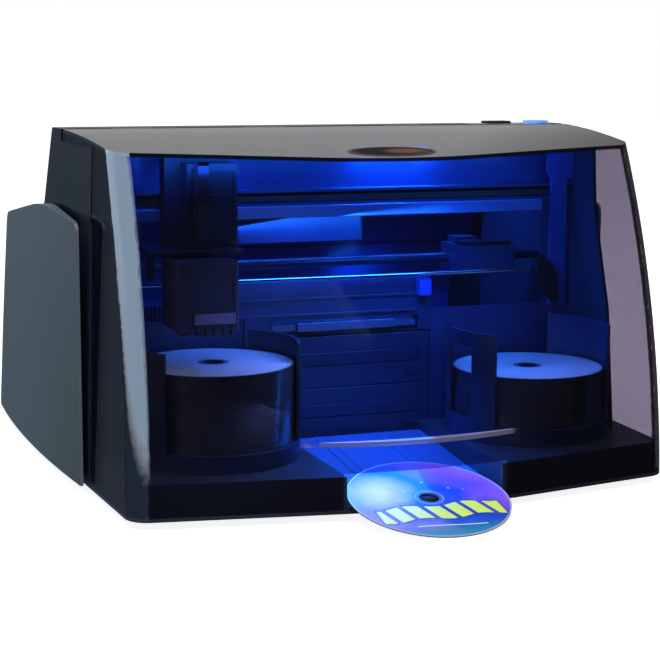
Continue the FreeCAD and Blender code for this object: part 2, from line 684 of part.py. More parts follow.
def bin_moulding(x):
    """Disc bin: a low drum with two tall curved walls, the left one with an upright slot."""
    outer = BIN_IN_R + BIN_WALL
    drum = rod(x, BIN_Y, DECK_Z, outer, BIN_FLOOR - DECK_Z)
    hollow = rod(x, BIN_Y, DECK_Z, BIN_IN_R, BIN_FLOOR - DECK_Z - BIN_WALL)
    tall = rod(x, BIN_Y, DECK_Z, outer, BIN_TOP - DECK_Z).cut(
        rod(x, BIN_Y, DECK_Z, BIN_IN_R, BIN_TOP - DECK_Z))
    left = tall.common(wedge(x, BIN_LEFT_ARC, DECK_Z, BIN_TOP))
    left = left.cut(wedge(x, BIN_SLOT_ARC, *BIN_SLOT_Z))
    right = tall.common(wedge(x, BIN_RIGHT_ARC, DECK_Z, BIN_TOP))
    hub = rod(x, BIN_Y, DECK_Z, HUB_R, BIN_FLOOR - DECK_Z)
    bore = rod(x, BIN_Y, DECK_Z, HUB_BORE, BIN_FLOOR)
    return join(drum.cut(hollow), left, right, hub).cut(bore)


def wedge(x, arc, z0, z1):
    """Slice of a round block about a bin's middle, between two angles in degrees."""
    start, end = (math.radians(a) for a in arc)
    reach = 2 * BIN_IN_R
    half = 0.5 * (end - start)
    mid = start + half
    tip = reach / math.cos(half)
    points = [(x, BIN_Y, 0),
              (x + reach * math.cos(start), BIN_Y + reach * math.sin(start), 0),
              (x + tip * math.cos(mid), BIN_Y + tip * math.sin(mid), 0),
              (x + reach * math.cos(end), BIN_Y + reach * math.sin(end), 0)]
    return prism_z(points, z0, z1)


def disc_stack(x, count):
    """A pile of discs: one body whose rim and hole show the edge of every disc."""
    groove = 0.25
    points = []
    for i in range(count):
        low = BIN_FLOOR + i * DISC_T
        high = low + DISC_T
        points += [(DISC_R - groove, low), (DISC_R, low + groove), (DISC_R, high - groove),
                   (DISC_R - groove, high)]
    top = BIN_FLOOR + count * DISC_T
    points += [(DISC_HOLE_R, top), (DISC_HOLE_R, BIN_FLOOR)]
    clean = []
    for point in points:
        if not clean or math.hypot(point[0] - clean[-1][0], point[1] - clean[-1][1]) > 1e-6:
            clean.append(point)
    wire = Part.makePolygon([V(r, 0, z) for r, z in clean + clean[:1]])
    solid = Part.Face(wire).revolve(V(0, 0, 0), V(0, 0, 1), 360)
    solid.translate(V(x, BIN_Y, 0))
    return solid


def chute_ramp():
    back_y, back_z = RAMP_BACK
    lip_y, lip_z = RAMP_LIP
    knee = (0.35 * back_y, lip_z + 0.3 * (back_z - lip_z) + 0.6)
    half = CHUTE_HALF - FIT
    outline = [(back_y, back_z, 0), (*knee, 90.0), (lip_y, lip_z, 0), (lip_y, lip_z - RAMP_T, 0),
               (knee[0], knee[1] - RAMP_T, 90.0), (back_y, back_z - RAMP_T, 0)]
    plate = prism_x(outline, -half, half)
    under = [(lip_y + 12.0, PLATE_TOP, 0), (lip_y + 12.0, lip_z, 0), (knee[0], knee[1] - 1.0, 0),
             (back_y, back_z - 1.0, 0), (back_y, PLATE_TOP, 0)]
    ribs = [prism_x(under, x - 1.0, x + 1.0) for x in (-50.0, 0.0, 50.0)]
    track = [(back_y, back_z + 0.6, 0), (knee[0], knee[1] + 0.8, 90.0), (lip_y + 22.0, lip_z + 1.4, 0),
             (lip_y + 22.0, lip_z - 0.5, 0), (knee[0], knee[1] - 0.5, 90.0), (back_y, back_z - 1.0, 0)]
    tracks = [prism_x(track, x - 0.8, x + 0.8) for x in (-30.0, -22.0, 22.0, 30.0)]
    return join(plate, *ribs, *tracks)


def printed_disc():
    disc = rod(0, 0, -0.5 * DISC_T, DISC_R, DISC_T)
    disc = disc.cut(rod(0, 0, -DISC_T, DISC_HOLE_R, 2 * DISC_T))
    disc.rotate(V(0, 0, 0), V(1, 0, 0), EJECT_TILT)
    disc.translate(V(*EJECT_AT))
    return disc


# ---------------------------------------------------------------- controls
def control_plate():
    plate = box(*STRIP_X, *STRIP_Y, TOP_CREST[1] - STRIP_T, TOP_CREST[1])
    upright = [e for e in plate.Edges if e.BoundBox.ZLength > STRIP_T / 2]
    plate = plate.makeFillet(4.0, upright)
    return plate.cut([rod(POWER_X, BUTTON_Y, 0, POWER_R + SLIDE_FIT, EVERYWHERE),
                      reject_block(0, EVERYWHERE, SLIDE_FIT)])


BUTTON_LOW = BOARD_TOP + 2.4


def button_rim_top():
    return HOUSING_UNDER - SLIDE_FIT


def power_button():
    cap = rod(POWER_X, BUTTON_Y, BUTTON_LOW, POWER_R, TOP_CREST[1] + BUTTON_PROUD - BUTTON_LOW)
    crown = [e for e in cap.Edges if e.BoundBox.ZMin > TOP_CREST[1]]
    cap = cap.makeFillet(1.0, crown)
    rim = rod(POWER_X, BUTTON_Y, BUTTON_LOW + BUTTON_RIM, POWER_R + BUTTON_RIM,
              button_rim_top() - BUTTON_LOW - BUTTON_RIM)
    return cap.fuse(rim)


def reject_button():
    cap = reject_block(BUTTON_LOW, TOP_CREST[1] + BUTTON_PROUD)
    crown = [e for e in cap.Edges if e.BoundBox.ZMin > TOP_CREST[1]]
    cap = cap.makeFillet(0.8, crown)
    rim = reject_block(BUTTON_LOW + BUTTON_RIM, button_rim_top(), BUTTON_RIM)
    return cap.fuse(rim)


def control_board():
    board = box(*BOARD_SPAN, *STRIP_Y, BOARD_TOP - PLATE_T, BOARD_TOP)
    domes = [rod(x, BUTTON_Y, BOARD_TOP, 3.0, BUTTON_LOW - BUTTON_TRAVEL - SLIDE_FIT - BOARD_TOP)
             for x in (POWER_X, REJECT_X)]
    return join(board, *domes)


# ---------------------------------------------------------------- rail and robot
def rail_beam():
    y0, y1 = RAIL_Y[1], BEAM_BACK
    z0, z1 = BEAM_Z
    middle = RAIL_Z[1] + BEAM_WALL
    beam = box(-PLATE_X, PLATE_X, y0, y1, z0, z1)
    channel = box(-PLATE_X, PLATE_X, y0 - 1, y1 - BEAM_WALL, middle, z1 - BEAM_WALL)
    hollow = box(-PLATE_X, PLATE_X, y0 + BEAM_WALL, y1 - BEAM_WALL, z0 + BEAM_WALL, middle - BEAM_WALL)
    shaft = rod(PULLEY_X[0], PULLEY_Y, z0 - 1, PULLEY_PIN_R + 0.5, z1 - z0 - BEAM_WALL)
    pin = rod(PULLEY_X[1], PULLEY_Y, middle, PULLEY_PIN_R, z1 - BEAM_WALL - middle)
    return beam.cut([channel, hollow, shaft]).fuse(pin)


def carriage_rail():
    rail = box(*RAIL_X, *RAIL_Y, *RAIL_Z)
    long_edges = [e for e in rail.Edges if e.BoundBox.XLength > 100 and e.BoundBox.YMax < RAIL_Y[0] + 1]
    return rail.makeFillet(1.0, long_edges)


def rail_bracket():
    """Right-hand end bracket: a flat plate on the beam's front with a wider head."""
    y0, y1 = RAIL_Y[1] - PLATE_W, RAIL_Y[1]
    x0, x1 = BRACKET_X
    tab_x, tab_z = BRACKET_TAB
    points = [(x0, BRACKET_Z[0], 0), (x1, BRACKET_Z[0], 0), (x1, BRACKET_Z[1], 0),
              (PLATE_X, BRACKET_Z[1], 0), (PLATE_X, tab_z, 0), (tab_x, tab_z, 0),
              (tab_x, BRACKET_Z[1] + 6.0, 0), (x0, BRACKET_Z[1], 0)]
    face = Part.Face(loop_of(points))
    face.rotate(V(0, 0, 0), V(1, 0, 0), 90)
    face.translate(V(0, y1, 0))
    plate = face.extrude(V(0, y0 - y1, 0))
    socket = rod(x0 + 2.0 * TIE_ROD_R, y1, TIE_ROD_Z, 2.2 * TIE_ROD_R, 4.0 * TIE_ROD_R, "y")
    hole = rod(x0 - 8.0 * TIE_ROD_R, y1 + 2.0 * TIE_ROD_R, TIE_ROD_Z, TIE_ROD_R, 12.0 * TIE_ROD_R, "x")
    return plate.fuse(socket).cut(hole)


def tie_rod():
    end = BRACKET_X[0] + 4.0 * TIE_ROD_R
    return rod(-end, RAIL_Y[1] + 2.0 * TIE_ROD_R, TIE_ROD_Z, TIE_ROD_R, 2 * end, "x")


def cable_guide():
    """Leaf-shaped blade that leads the ribbon past the right-hand bracket."""
    y1 = RAIL_Y[1] - PLATE_W - SLIDE_FIT / 2
    low, high = BRACKET_Z[0] + 1.0, 167.0
    top = V(BRACKET_X[0] - 9.0, high, 0)
    foot = V(BRACKET_X[0] + 6.0, low, 0)
    edges = [Part.Arc(top, V(BRACKET_X[0] - 12.5, 0.5 * (low + high) + 8.0, 0), foot).toShape(),
             Part.Arc(foot, V(BRACKET_X[0] + 4.0, 0.5 * (low + high) + 8.0, 0), top).toShape()]
    face = Part.Face(Part.Wire(edges))
    face.rotate(V(0, 0, 0), V(1, 0, 0), 90)
    face.translate(V(0, y1, 0))
    return face.extrude(V(0, -2.2, 0))


def robot_motor():
    x = PULLEY_X[0]
    top = BEAM_Z[0]
    can = rod(x, PULLEY_Y, top - MOTOR_H, MOTOR_R, MOTOR_H)
    cap = rod(x, PULLEY_Y, top - MOTOR_H - 3.0, 3.0, 3.0)
    shaft = rod(x, PULLEY_Y, top, PULLEY_PIN_R, BEAM_Z[1] - 2 * BEAM_WALL - top)
    return join(can, cap, shaft)


PULLEY_Z = RAIL_Z[1] + BEAM_WALL + SLIDE_FIT


def robot_pulley(x):
    wheel = rod(x, PULLEY_Y, PULLEY_Z, PULLEY_R, PULLEY_H)
    rims = [rod(x, PULLEY_Y, PULLEY_Z, PULLEY_R + 0.9, 0.4),
            rod(x, PULLEY_Y, PULLEY_Z + PULLEY_H - 0.4, PULLEY_R + 0.9, 0.4)]
    return join(wheel, *rims).cut(rod(x, PULLEY_Y, 0, PULLEY_PIN_R + RUN_FIT, EVERYWHERE))


def robot_belt():
    inner = PULLEY_R + 0.1
    outer = inner + BELT_T
    low = PULLEY_Z + 0.5 * (PULLEY_H - BELT_W) + 0.15

    def loop(r):
        ends = [rod(x, PULLEY_Y, low, r, BELT_W - 0.3) for x in PULLEY_X]
        run = box(*PULLEY_X, PULLEY_Y - r, PULLEY_Y + r, low, low + BELT_W - 0.3)
        return join(run, *ends)

    return loop(outer).cut(loop(inner))


def carriage_tower():
    """Runs on the rail: back slab, upright column, foot plate and two lips over the rail."""
    back_y = RAIL_Y[0] - SLIDE_FIT
    slab_x = TOWER_BACK_X
    back = box(*slab_x, TOWER_Y[1], back_y, TOWER_BOTTOM, TOWER_TOP)
    column = box(*TOWER_X, TOWER_Y[0], TOWER_Y[1], TOWER_BOTTOM, TOWER_TOP - 4.0)
    groove = box(TOWER_X[0] + 3.0, BAR_X[0] - 1.0, TOWER_Y[0] - 1, TOWER_Y[0] + 2.0,
                 TOWER_BOTTOM + 6, TOWER_TOP - 8)
    groove_b = box(BAR_X[1] + 4.0, TOWER_X[1] - 3.0, TOWER_Y[0] - 1, TOWER_Y[0] + 1.2,
                   TOWER_BOTTOM + 6, TOWER_TOP - 10)
    lip_y = RAIL_Y[1] - SLIDE_FIT
    upper = box(*slab_x, back_y, lip_y, RAIL_Z[1] + SLIDE_FIT, RAIL_Z[1] + SLIDE_FIT + 3.0)
    lower = box(*slab_x, back_y, lip_y, RAIL_Z[0] - SLIDE_FIT - 3.0, RAIL_Z[0] - SLIDE_FIT)
    foot = box(*FOOT_PLATE_X, TOWER_Y[0] - 18.0, back_y, TOWER_BOTTOM - FOOT_PLATE_T, TOWER_BOTTOM)
    ears = [box(BAR_X[0] - 3.0, BAR_X[1] + 3.0, BAR_Y[0] - 3.0, TOWER_Y[0], z, z + 5.0)
            for z in (TOWER_BOTTOM, TOWER_TOP - 32.0)]
    path = box(BAR_X[0] - SLIDE_FIT, BAR_X[1] + SLIDE_FIT, BAR_Y[0] - SLIDE_FIT, BAR_Y[1] + SLIDE_FIT,
               0, EVERYWHERE)
    clamp = box(slab_x[0] + 18, slab_x[1] - 18, lip_y, PULLEY_Y - PULLEY_R - BELT_T - 0.1 - SLIDE_FIT,
                PULLEY_Z + 0.4, PULLEY_Z + 3.2)
    clamp_root = box(slab_x[0] + 18, slab_x[1] - 18, back_y, lip_y, PULLEY_Z - 0.6, PULLEY_Z + 3.2)
    side = bracket_on_tower()
    body = join(back, column, upper, lower, foot, *ears, clamp, clamp_root, side)
    return body.cut([groove, groove_b, path])


def bracket_on_tower():
    """Small upright flag on the left end of the foot plate."""
    x0 = FOOT_PLATE_X[0]
    return box(x0, x0 + 1.6, TOWER_Y[0] - 12.0, TOWER_Y[0] + 4.0, TOWER_BOTTOM - 22.0, TOWER_BOTTOM)


def lift_bar():
    return box(*BAR_X, *BAR_Y, HEAD_Z[1], TOWER_TOP - 2.0)


def picker_head():
    """Box with a sloped label face, a lower comb and a hollow for the gripper."""
    x0, x1 = HEAD_X
    y0, y1 = HEAD_Y
    z0, z1 = HEAD_Z
    shell = box(x0, x1, y0, y1, z0, z1)
    edges = [e for e in shell.Edges if e.BoundBox.ZLength > 10 and e.BoundBox.YMax < y0 + 1]
    shell = shell.makeFillet(2.0, edges)
    hollow = box(x0 + HEAD_WALL, x1 - HEAD_WALL, y0 + HEAD_WALL, y1 - HEAD_WALL,
                 z0 + HEAD_WALL, z1 - HEAD_WALL)
    bore = rod(GRIP_X, BIN_Y, z0 - 1, GRIP_R + RUN_FIT, SLEEVE_H + 2)
    face = box(x0 + 5.0, x1 - 4.0, y0 - 1, y0 + 0.6, z0 + 16.0, z1 - 8.0)
    sleeve = rod(GRIP_X, BIN_Y, z0, GRIP_R + 2.5, SLEEVE_H)
    strip = box(x0 + 12.0, x1 - 3.0, y0 - 1.2, y0 + 1.0, z0 + 5.5, z0 + 13.5)
    teeth = [box(x0 + 14.0 + 6.5 * i, x0 + 17.5 + 6.5 * i, y0 - 0.8, y0 + 8.0, z0 - 3.0, z0 + 4.0)
             for i in range(5)]
    knob = rod(x0 + 7.0, y0 + 9.0, z0 - 3.0, 4.5, 4.0)
    return join(shell.cut([hollow, face]), sleeve, strip, knob, *teeth).cut(bore)


def gripper_plunger():
    low = HEAD_Z[0] - GRIP_DROP
    top = HEAD_Z[0] + SLEEVE_H + 6.0
    stem = rod(GRIP_X, BIN_Y, low + 1.5, GRIP_R, top - low - 1.5)
    nose = Part.makeCone(GRIP_R - 1.2, GRIP_R, 1.5, V(GRIP_X, BIN_Y, low))
    slits = [box(-0.5, 0.5, 0, 2 * GRIP_R, low, low + 8.0) for _ in range(3)]
    for i, slit in enumerate(slits):
        slit.rotate(V(0, 0, 0), V(0, 0, 1), 120 * i)
        slit.translate(V(GRIP_X, BIN_Y, 0))
    collar = rod(GRIP_X, BIN_Y, top - 2.0, GRIP_R + 2.0, 2.0)
    return join(stem, nose, collar).cut(slits)


def flex_ribbon():
    """Flat cable under the beam: a straight run that turns back on itself at its right end."""
    t, bend = 0.6, 4.5
    y0 = RAIL_Y[1] + 4.0
    y1 = y0 + 2 * bend
    x0, x1 = -96.0, 8.0
    z0, z1 = 183.5, BEAM_Z[0]
    outer = box(x0, x1, y0, y1, z0, z1).fuse(rod(x1, y0 + bend, z0, bend, z1 - z0))
    inner = box(x0 - 1, x1, y0 + t, y1 - t, z0, z1).fuse(rod(x1, y0 + bend, z0, bend - t, z1 - z0))
    return cut(outer, inner)


def upper_panel():
    y0 = BEAM_BACK
    low, high = BEAM_Z[1], top_height(y0, SHELL) - 1.5
    panel = box(-PLATE_X, PLATE_X, y0 - PLATE_W, y0, low, high)
    shelf = box(-PLATE_X, PLATE_X, y0 - 9.0, y0 + 18.0, high - PLATE_W, high)
    return join(panel, shelf)


def led_board():
    z = top_height(BEAM_BACK, SHELL) - 1.5 - PLATE_W
    board = box(-12.0, 72.0, BEAM_BACK - 9.0, BEAM_BACK - PLATE_W, z - PLATE_T, z)
    lamps = [rod(x, BEAM_BACK - 5.8, z - PLATE_T - 1.6, 2.2, 1.6) for x in (2.0, 30.0, 58.0)]
    return join(board, *lamps)


# ---------------------------------------------------------------- bulkhead, drives and printer
def front_bulkhead():
    """Sheet behind the bins with a wide bay for the drives and the mouth of the printer tray."""
    half_l, half_r, mid_top = BULK_MID
    sheet = box(-BULK_HALF, BULK_HALF, *BULK_Y, PLATE_TOP, BULK_TOP)
    rise = box(half_l, half_r, *BULK_Y, BULK_TOP, mid_top)
    bay = box(-BEZEL_HALF - FIT, BEZEL_HALF + FIT, BULK_Y[0] - 1, BULK_Y[1] + 1, PLATE_TOP, CRADLE_TOP)
    mouth = box(-TRAY_HALF - 1.5, TRAY_HALF + 1.5, BULK_Y[0] - 1, BULK_Y[1] + 1,
                CRADLE_TOP, PRINT_TRAY_Z + PRINT_TRAY_T + 3.0)
    edge = BEZEL_HALF + FIT
    frames = []
    for x in (edge, -edge - 12.0):
        frames.append(box(x, x + 12.0, BULK_Y[0] - 1.2, BULK_Y[0], PLATE_TOP, BULK_TOP))
    ribs = [box(half_l + 2.0, half_r - 14.0, BULK_Y[0] - 1.2, BULK_Y[0], z, z + 1.6)
            for z in (123.0, 136.0)]
    return join(sheet, rise, *frames, *ribs).cut([bay, mouth])


CRADLE_TOP = DRIVE_Z + DRIVE_PITCH + DRIVE_H + 2.0


def drive_cradle():
    """Sheet steel cage: two sides and a top that hold both drives."""
    inner = DRIVE_HALF + SLIDE_FIT
    outer = inner + SHEET
    y0, y1 = DRIVE_Y[0] + 2.0, DRIVE_Y[1] - 5.0
    side = box(inner, outer, y0, y1, PLATE_TOP, CRADLE_TOP)
    foot = box(outer, outer + 9.0, y0, y1, PLATE_TOP, PLATE_TOP + SHEET)
    lid = box(-outer, outer, y0, y1, CRADLE_TOP - SHEET, CRADLE_TOP)
    shelf = box(inner - 6.0, inner, y0, y1, DRIVE_Z - SHEET, DRIVE_Z)
    vents = [box(-50.0, 50.0, y, y + 5.0, 0, EVERYWHERE) for y in range(200, 290, 15)]
    return join(side, mirrored(side), foot, mirrored(foot), lid.cut(vents), shelf, mirrored(shelf))


def drive_case(z):
    """Steel case, open in front for the tray, with a ledge along each side and a bridged disc motor."""
    case = box(-DRIVE_HALF, DRIVE_HALF, *DRIVE_Y, z, z + DRIVE_H)
    inside = box(-DRIVE_HALF + SHEET, DRIVE_HALF - SHEET, DRIVE_Y[0] - 1, DRIVE_Y[1] - SHEET,
                 z + SHEET, z + DRIVE_H - SHEET)
    low = z + TRAY_LIFT - SLIDE_FIT
    y0, y1 = DRIVE_Y[0] + 4.0, DRIVE_Y[1] - SHEET
    rails = []
    for side in (-1, 1):
        x0, x1 = sorted((side * (TRAY_HALF - 3.0), side * (DRIVE_HALF - SHEET)))
        rails.append(box(x0, x1, y0, y1, low - DRIVE_RAIL_H, low))
    bridge = box(-DRIVE_HALF + SHEET, DRIVE_HALF - SHEET, TRAY_MIDDLE - 10.0, TRAY_MIDDLE + 10.0,
                 low - 1.5 * DRIVE_RAIL_H, low - DRIVE_RAIL_H)
    motor = rod(0, TRAY_MIDDLE, low - DRIVE_RAIL_H, 10.0, DRIVE_RAIL_H)
    return join(case.cut(inside), *rails, bridge, motor)


def drive_bezel(z):
    face = box(-BEZEL_HALF, BEZEL_HALF, BEZEL_FRONT, DRIVE_Y[0] - 0.1, z - 0.3, z + DRIVE_H + 0.3)
    rim = [e for e in face.Edges if e.BoundBox.YMax < BEZEL_FRONT + 0.1]
    face = face.makeFillet(0.8, rim)
    mouth_half = TRAY_HALF + 2.4
    low = z + TRAY_LIFT - 1.0
    mouth = box(-mouth_half, mouth_half, BEZEL_FRONT - 1, DRIVE_Y[0] + 1, low, low + TRAY_MOUTH_H)
    hole = button_block(z, BEZEL_FRONT - 1, DRIVE_Y[0] + 1, SLIDE_FIT)
    lamp = box(EJECT_X - 16.0, EJECT_X - 12.0, BEZEL_FRONT - 1, BEZEL_FRONT + 0.6, z + 8.0, z + 9.6)
    needle = rod(-EJECT_X + 20.0, BEZEL_FRONT - 1, z + 9.0, 0.8, 6.0, "y")
    return face.cut([mouth, hole, lamp, needle])


def button_block(z, y0, y1, spare=0.0):
    return box(EJECT_X - 5.5 - spare, EJECT_X + 5.5 + spare, y0, y1, z + 6.5 - spare, z + 11.0 + spare)


def eject_button(z):
    """Button in the bezel; its wide back runs in a pocket in front of the case."""
    cap = button_block(z, BEZEL_FRONT - 0.8, DRIVE_Y[0] - 0.5)
    rim = [e for e in cap.Edges if e.BoundBox.YMax < BEZEL_FRONT]
    return cap.makeFillet(0.5, rim)


def drive_tray(z):
    """Disc tray with its front strip; the dish and the slot under the laser are open."""
    low = z + TRAY_LIFT
    y0 = BEZEL_FRONT - 0.4
    y1 = y0 + TRAY_LEN
    plate = box(-TRAY_HALF, TRAY_HALF, y0 + 3.0, y1, low, low + TRAY_T)
    dish = rod(0, TRAY_MIDDLE, low + 3.2, DISC_R + 0.5, TRAY_T)
    small = rod(0, TRAY_MIDDLE, low + 2.2, 41.0, TRAY_T)
    slot = box(-17.0, 17.0, TRAY_MIDDLE - 5.0, y1 + 1, low - 1, low + TRAY_T + 1)
    well = rod(0, TRAY_MIDDLE, low - 1, 17.0, TRAY_T + 2)
    front = box(-TRAY_HALF - 2.0, TRAY_HALF + 2.0, y0, y0 + 3.0, low - 0.6, low - 1.4 + TRAY_MOUTH_H)
    rim = [e for e in front.Edges if e.BoundBox.YMax < y0 + 0.1]
    return join(plate.cut([dish, small, slot, well]), front.makeFillet(0.6, rim))


def tray_bed():
    """Channel on top of the cradle in which the printer tray runs."""
    y0, y1 = DRIVE_Y[0] + 2.0, DRIVE_Y[1] - 5.0
    low, high = CRADLE_TOP, PRINT_TRAY_Z - SLIDE_FIT
    floor = box(-BEZEL_HALF + 1.0, BEZEL_HALF - 1.0, y0, y1, low, high)
    wells = [box(x, x + 20.0, y0 + 6.0, y1 - 6.0, low + 1.2, high + 1) for x in (-58.0, -10.0, 38.0)]
    inner = TRAY_HALF + SLIDE_FIT
    side = box(inner, inner + 4.0, y0, y1, high, PRINT_TRAY_Z + PRINT_TRAY_T + 2.0)
    return join(floor.cut(wells), side, mirrored(side))


def printer_tray():
    y0 = BULK_Y[0] - 2.2
    y1 = y0 + 146.0
    low, high = PRINT_TRAY_Z, PRINT_TRAY_Z + PRINT_TRAY_T
    plate = box(-TRAY_HALF, TRAY_HALF, y0 + 4.0, y1, low, high)
    middle = y0 + 12.0 + DISC_R
    dish = rod(0, middle, high - 1.6, DISC_R + 0.5, 4.0)
    hub = rod(0, middle, high - 1.6, DISC_HOLE_R - 0.3, 1.6)
    finger = rod(0, y0 + 4.0, low - 1, 14.0, 10.0)
    bar = box(-PRINT_BAR_HALF, PRINT_BAR_HALF, y0, y0 + 4.0, low - 0.4, high + 1.2)
    rim = [e for e in bar.Edges if e.BoundBox.YMax < y0 + 0.1]
    return join(plate.cut([dish, finger]), hub, bar.makeFillet(0.8, rim))


def tray_sensor():
    """Clear light block on the front of the bulkhead, right of the printer's face."""
    x0 = BULK_MID[1] - 12.0
    return box(x0, x0 + 10.0, BULK_Y[0] - 7.0, BULK_Y[0], BULK_MID[2] - 15.0, BULK_MID[2] - 2.0)


def guide_rod():
    y, z = GUIDE_ROD
    return rod(-PLATE_X, y, z, GUIDE_ROD_R, 2 * PLATE_X, "x")


def print_carriage():
    """Ink carriage on the guide rod, open above for the two cartridges."""
    x0, x1 = CARRIAGE_X
    y, z = GUIDE_ROD
    body = box(x0, x1, y - 32.0, y + 12.0, z - 10.0, z + 12.0)
    bays = [box(a, b, y - 29.0, y - GUIDE_ROD_R - 3.0, z - 8.0, z + 13.0)
            for a, b in ((x0 + 2.5, 0.5 * (x0 + x1) - 1.2), (0.5 * (x0 + x1) + 1.2, x1 - 2.5))]
    bore = rod(x0 - 1, y, z, GUIDE_ROD_R + RUN_FIT, x1 - x0 + 2, "x")
    crest = box(x0 + 6.0, x0 + 26.0, y - 4.0, y + 12.0, z + 12.0, z + 17.0)
    return join(body.cut(bays), crest).cut(bore)


def ink_cartridges():
    x0, x1 = CARRIAGE_X
    y, z = GUIDE_ROD
    tanks = []
    for a, b in ((x0 + 2.5, 0.5 * (x0 + x1) - 1.2), (0.5 * (x0 + x1) + 1.2, x1 - 2.5)):
        tank = box(a + FIT, b - FIT, y - 29.0 + FIT, y - GUIDE_ROD_R - 3.0 - FIT, z - 8.0, z + 15.0)
        grip = box(a + 3.0, b - 3.0, y - 29.0 - 2.0, y - 26.0, z + 12.2, z + 15.0)
        tanks.append(join(tank, grip))
    return tanks


# ---------------------------------------------------------------- electrics
def power_supply():
    """Slotted steel box with its transformer inside."""
    x0, x1 = SUPPLY_X
    y0, y1 = SUPPLY_Y
    wall = SUPPLY_WALL
    case = box(x0, x1, y0, y1, PLATE_TOP, SUPPLY_TOP)
    hollow = box(x0 + wall, x1 - wall, y0 + wall, y1 - wall, PLATE_TOP + wall, SUPPLY_TOP - wall)
    slots = [box(x0 - 1, x1 + 1, y0 + 10.0 + 8.0 * i, y0 + 13.0 + 8.0 * i, 26.0, SUPPLY_TOP - 10.0)
             for i in range(8)]
    coil = box(x0 + 26.0, x1 - 28.0, y0 + 17.0, y1 - 18.0, PLATE_TOP + wall, 40.0)
    return join(cut(case, hollow, *slots), coil)


def main_board():
    board = box(*BOARD_X, *BOARD_Y, BOARD_Z, BOARD_Z + PLATE_T)
    posts = [rod(x, y, PLATE_TOP, 3.0, BOARD_Z - PLATE_TOP)
             for x in (BOARD_X[0] + 8, BOARD_X[1] - 8) for y in (BOARD_Y[0] + 8, BOARD_Y[1] - 12)]
    top = BOARD_Z + PLATE_T
    x0, y1 = BOARD_X[0], BOARD_Y[1]
    chips = [box(x0 + 28.0, x0 + 56.0, y1 - 108.0, y1 - 80.0, top, top + 2.5),
             box(x0 + 68.0, x0 + 88.0, y1 - 78.0, y1 - 66.0, top, top + 2.0)]
    cans = [rod(x0 + 14.0 + 13.0 * i, y1 - 48.0, top, 4.5, 14.0) for i in range(4)]
    left, right = PORT_X - 0.5 * PORT_SIZE[0], PORT_X + 0.5 * PORT_SIZE[0]
    back = BODY_DEPTH - 0.6
    high = top + PORT_SIZE[1]
    port = box(left, right, back - 2 * PORT_SIZE[2], back, top, high)
    mouth = box(left + 1.6, right - 1.6, back - PORT_SIZE[2], back + 1, top + 1.6, high - 1.6)
    tongue = box(PORT_X - 3.0, PORT_X + 3.0, back - PORT_SIZE[2] - 1, back - 7.0, top + 4.6, high - 4.6)
    return join(board, *posts, *chips, *cans, port.cut(mouth), tongue)


FAN_Y = BODY_DEPTH - SHELL - FIT


def fan_frame():
    x, z, size, depth = FAN
    half = 0.5 * size
    y0 = FAN_Y - depth
    frame = box(x - half, x + half, y0, FAN_Y, z - half, z + half)
    upright = [e for e in frame.Edges if e.BoundBox.YLength > depth / 2]
    frame = frame.makeFillet(4.0, upright)
    tunnel = rod(x, y0 - 1, z, half - 2.0, depth + 2, "y")
    holes = [rod(x + sx * (half - 4.5), y0 - 1, z + sz * (half - 4.5), 2.0, depth + 2, "y")
             for sx in (-1, 1) for sz in (-1, 1)]
    hub = rod(x, y0, z, 12.0, 2.5, "y")
    arms = [box(x - half + 1, x + half - 1, y0, y0 + 2.5, z - 1.5, z + 1.5),
            box(x - 1.5, x + 1.5, y0, y0 + 2.5, z - half + 1, z + half - 1)]
    pin = rod(x, y0, z, 1.5, depth - 3.0, "y")
    foot = box(x - half, x + half, y0, FAN_Y, PLATE_TOP, z - half + 1.0)
    return join(cut(frame, tunnel, *holes), hub, *arms, pin, foot)


def fan_rotor():
    x, z, size, depth = FAN
    y0 = FAN_Y - depth + 2.5 + SLIDE_FIT
    length = depth - 4.5
    reach = 0.5 * size - 2.8
    hub = rod(x, y0, z, 11.5, length, "y")
    blades = []
    for i in range(7):
        blade = box(0, reach, -0.8, 0.8, -6.5, 6.5).cut(box(-1, 9.0, -2, 2, -8, 8))
        blade.rotate(V(0, 0, 0), V(1, 0, 0), 38)
        blade.translate(V(0, y0 + 0.5 * length, 0))
        blade.rotate(V(0, 0, 0), V(0, 1, 0), i * 360.0 / 7)
        blade.translate(V(x, 0, z))
        blades.append(blade)
    ring = rod(x, y0, z, reach, length, "y")
    trimmed = [b.common(ring) for b in blades]
    return join(hub, *trimmed).cut(rod(x, y0 - 1, z, 1.5 + RUN_FIT, depth, "y"))


def power_inlet():
    x, z, width, height = INLET
    y1 = BODY_DEPTH + 1.4
    y0 = BODY_DEPTH - 24.0
    body = box(x - 0.5 * width, x + 0.5 * width, y0, y1, z - 0.5 * height, z + 0.5 * height)
    rim = box(x - 0.5 * width - 2.0, x + 0.5 * width + 2.0, BODY_DEPTH, y1,
              z - 0.5 * height - 2.0, z + 0.5 * height + 2.0)
    socket = prism_y([(x - 12.0, z - 7.5, 1.0), (x - 12.0, z + 3.0, 1.0), (x - 7.5, z + 7.5, 1.0),
                      (x + 7.5, z + 7.5, 1.0), (x + 12.0, z + 3.0, 1.0), (x + 12.0, z - 7.5, 1.0)],
                     BODY_DEPTH - 17.0, y1 + 1)
    pins = [box(x + dx - 1.0, x + dx + 1.0, BODY_DEPTH - 18.0, BODY_DEPTH - 6.0,
                z + dz - 2.0, z + dz + 2.0)
            for dx, dz in ((-7.0, -2.0), (0.0, 2.0), (7.0, -2.0))]
    return join(body.fuse(rim).cut(socket), *pins)


def prism_y(points, y0, y1):
    face = Part.Face(loop_of(points))
    face.rotate(V(0, 0, 0), V(1, 0, 0), 90)
    face.translate(V(0, y0, 0))
    return face.extrude(V(0, y1 - y0, 0))


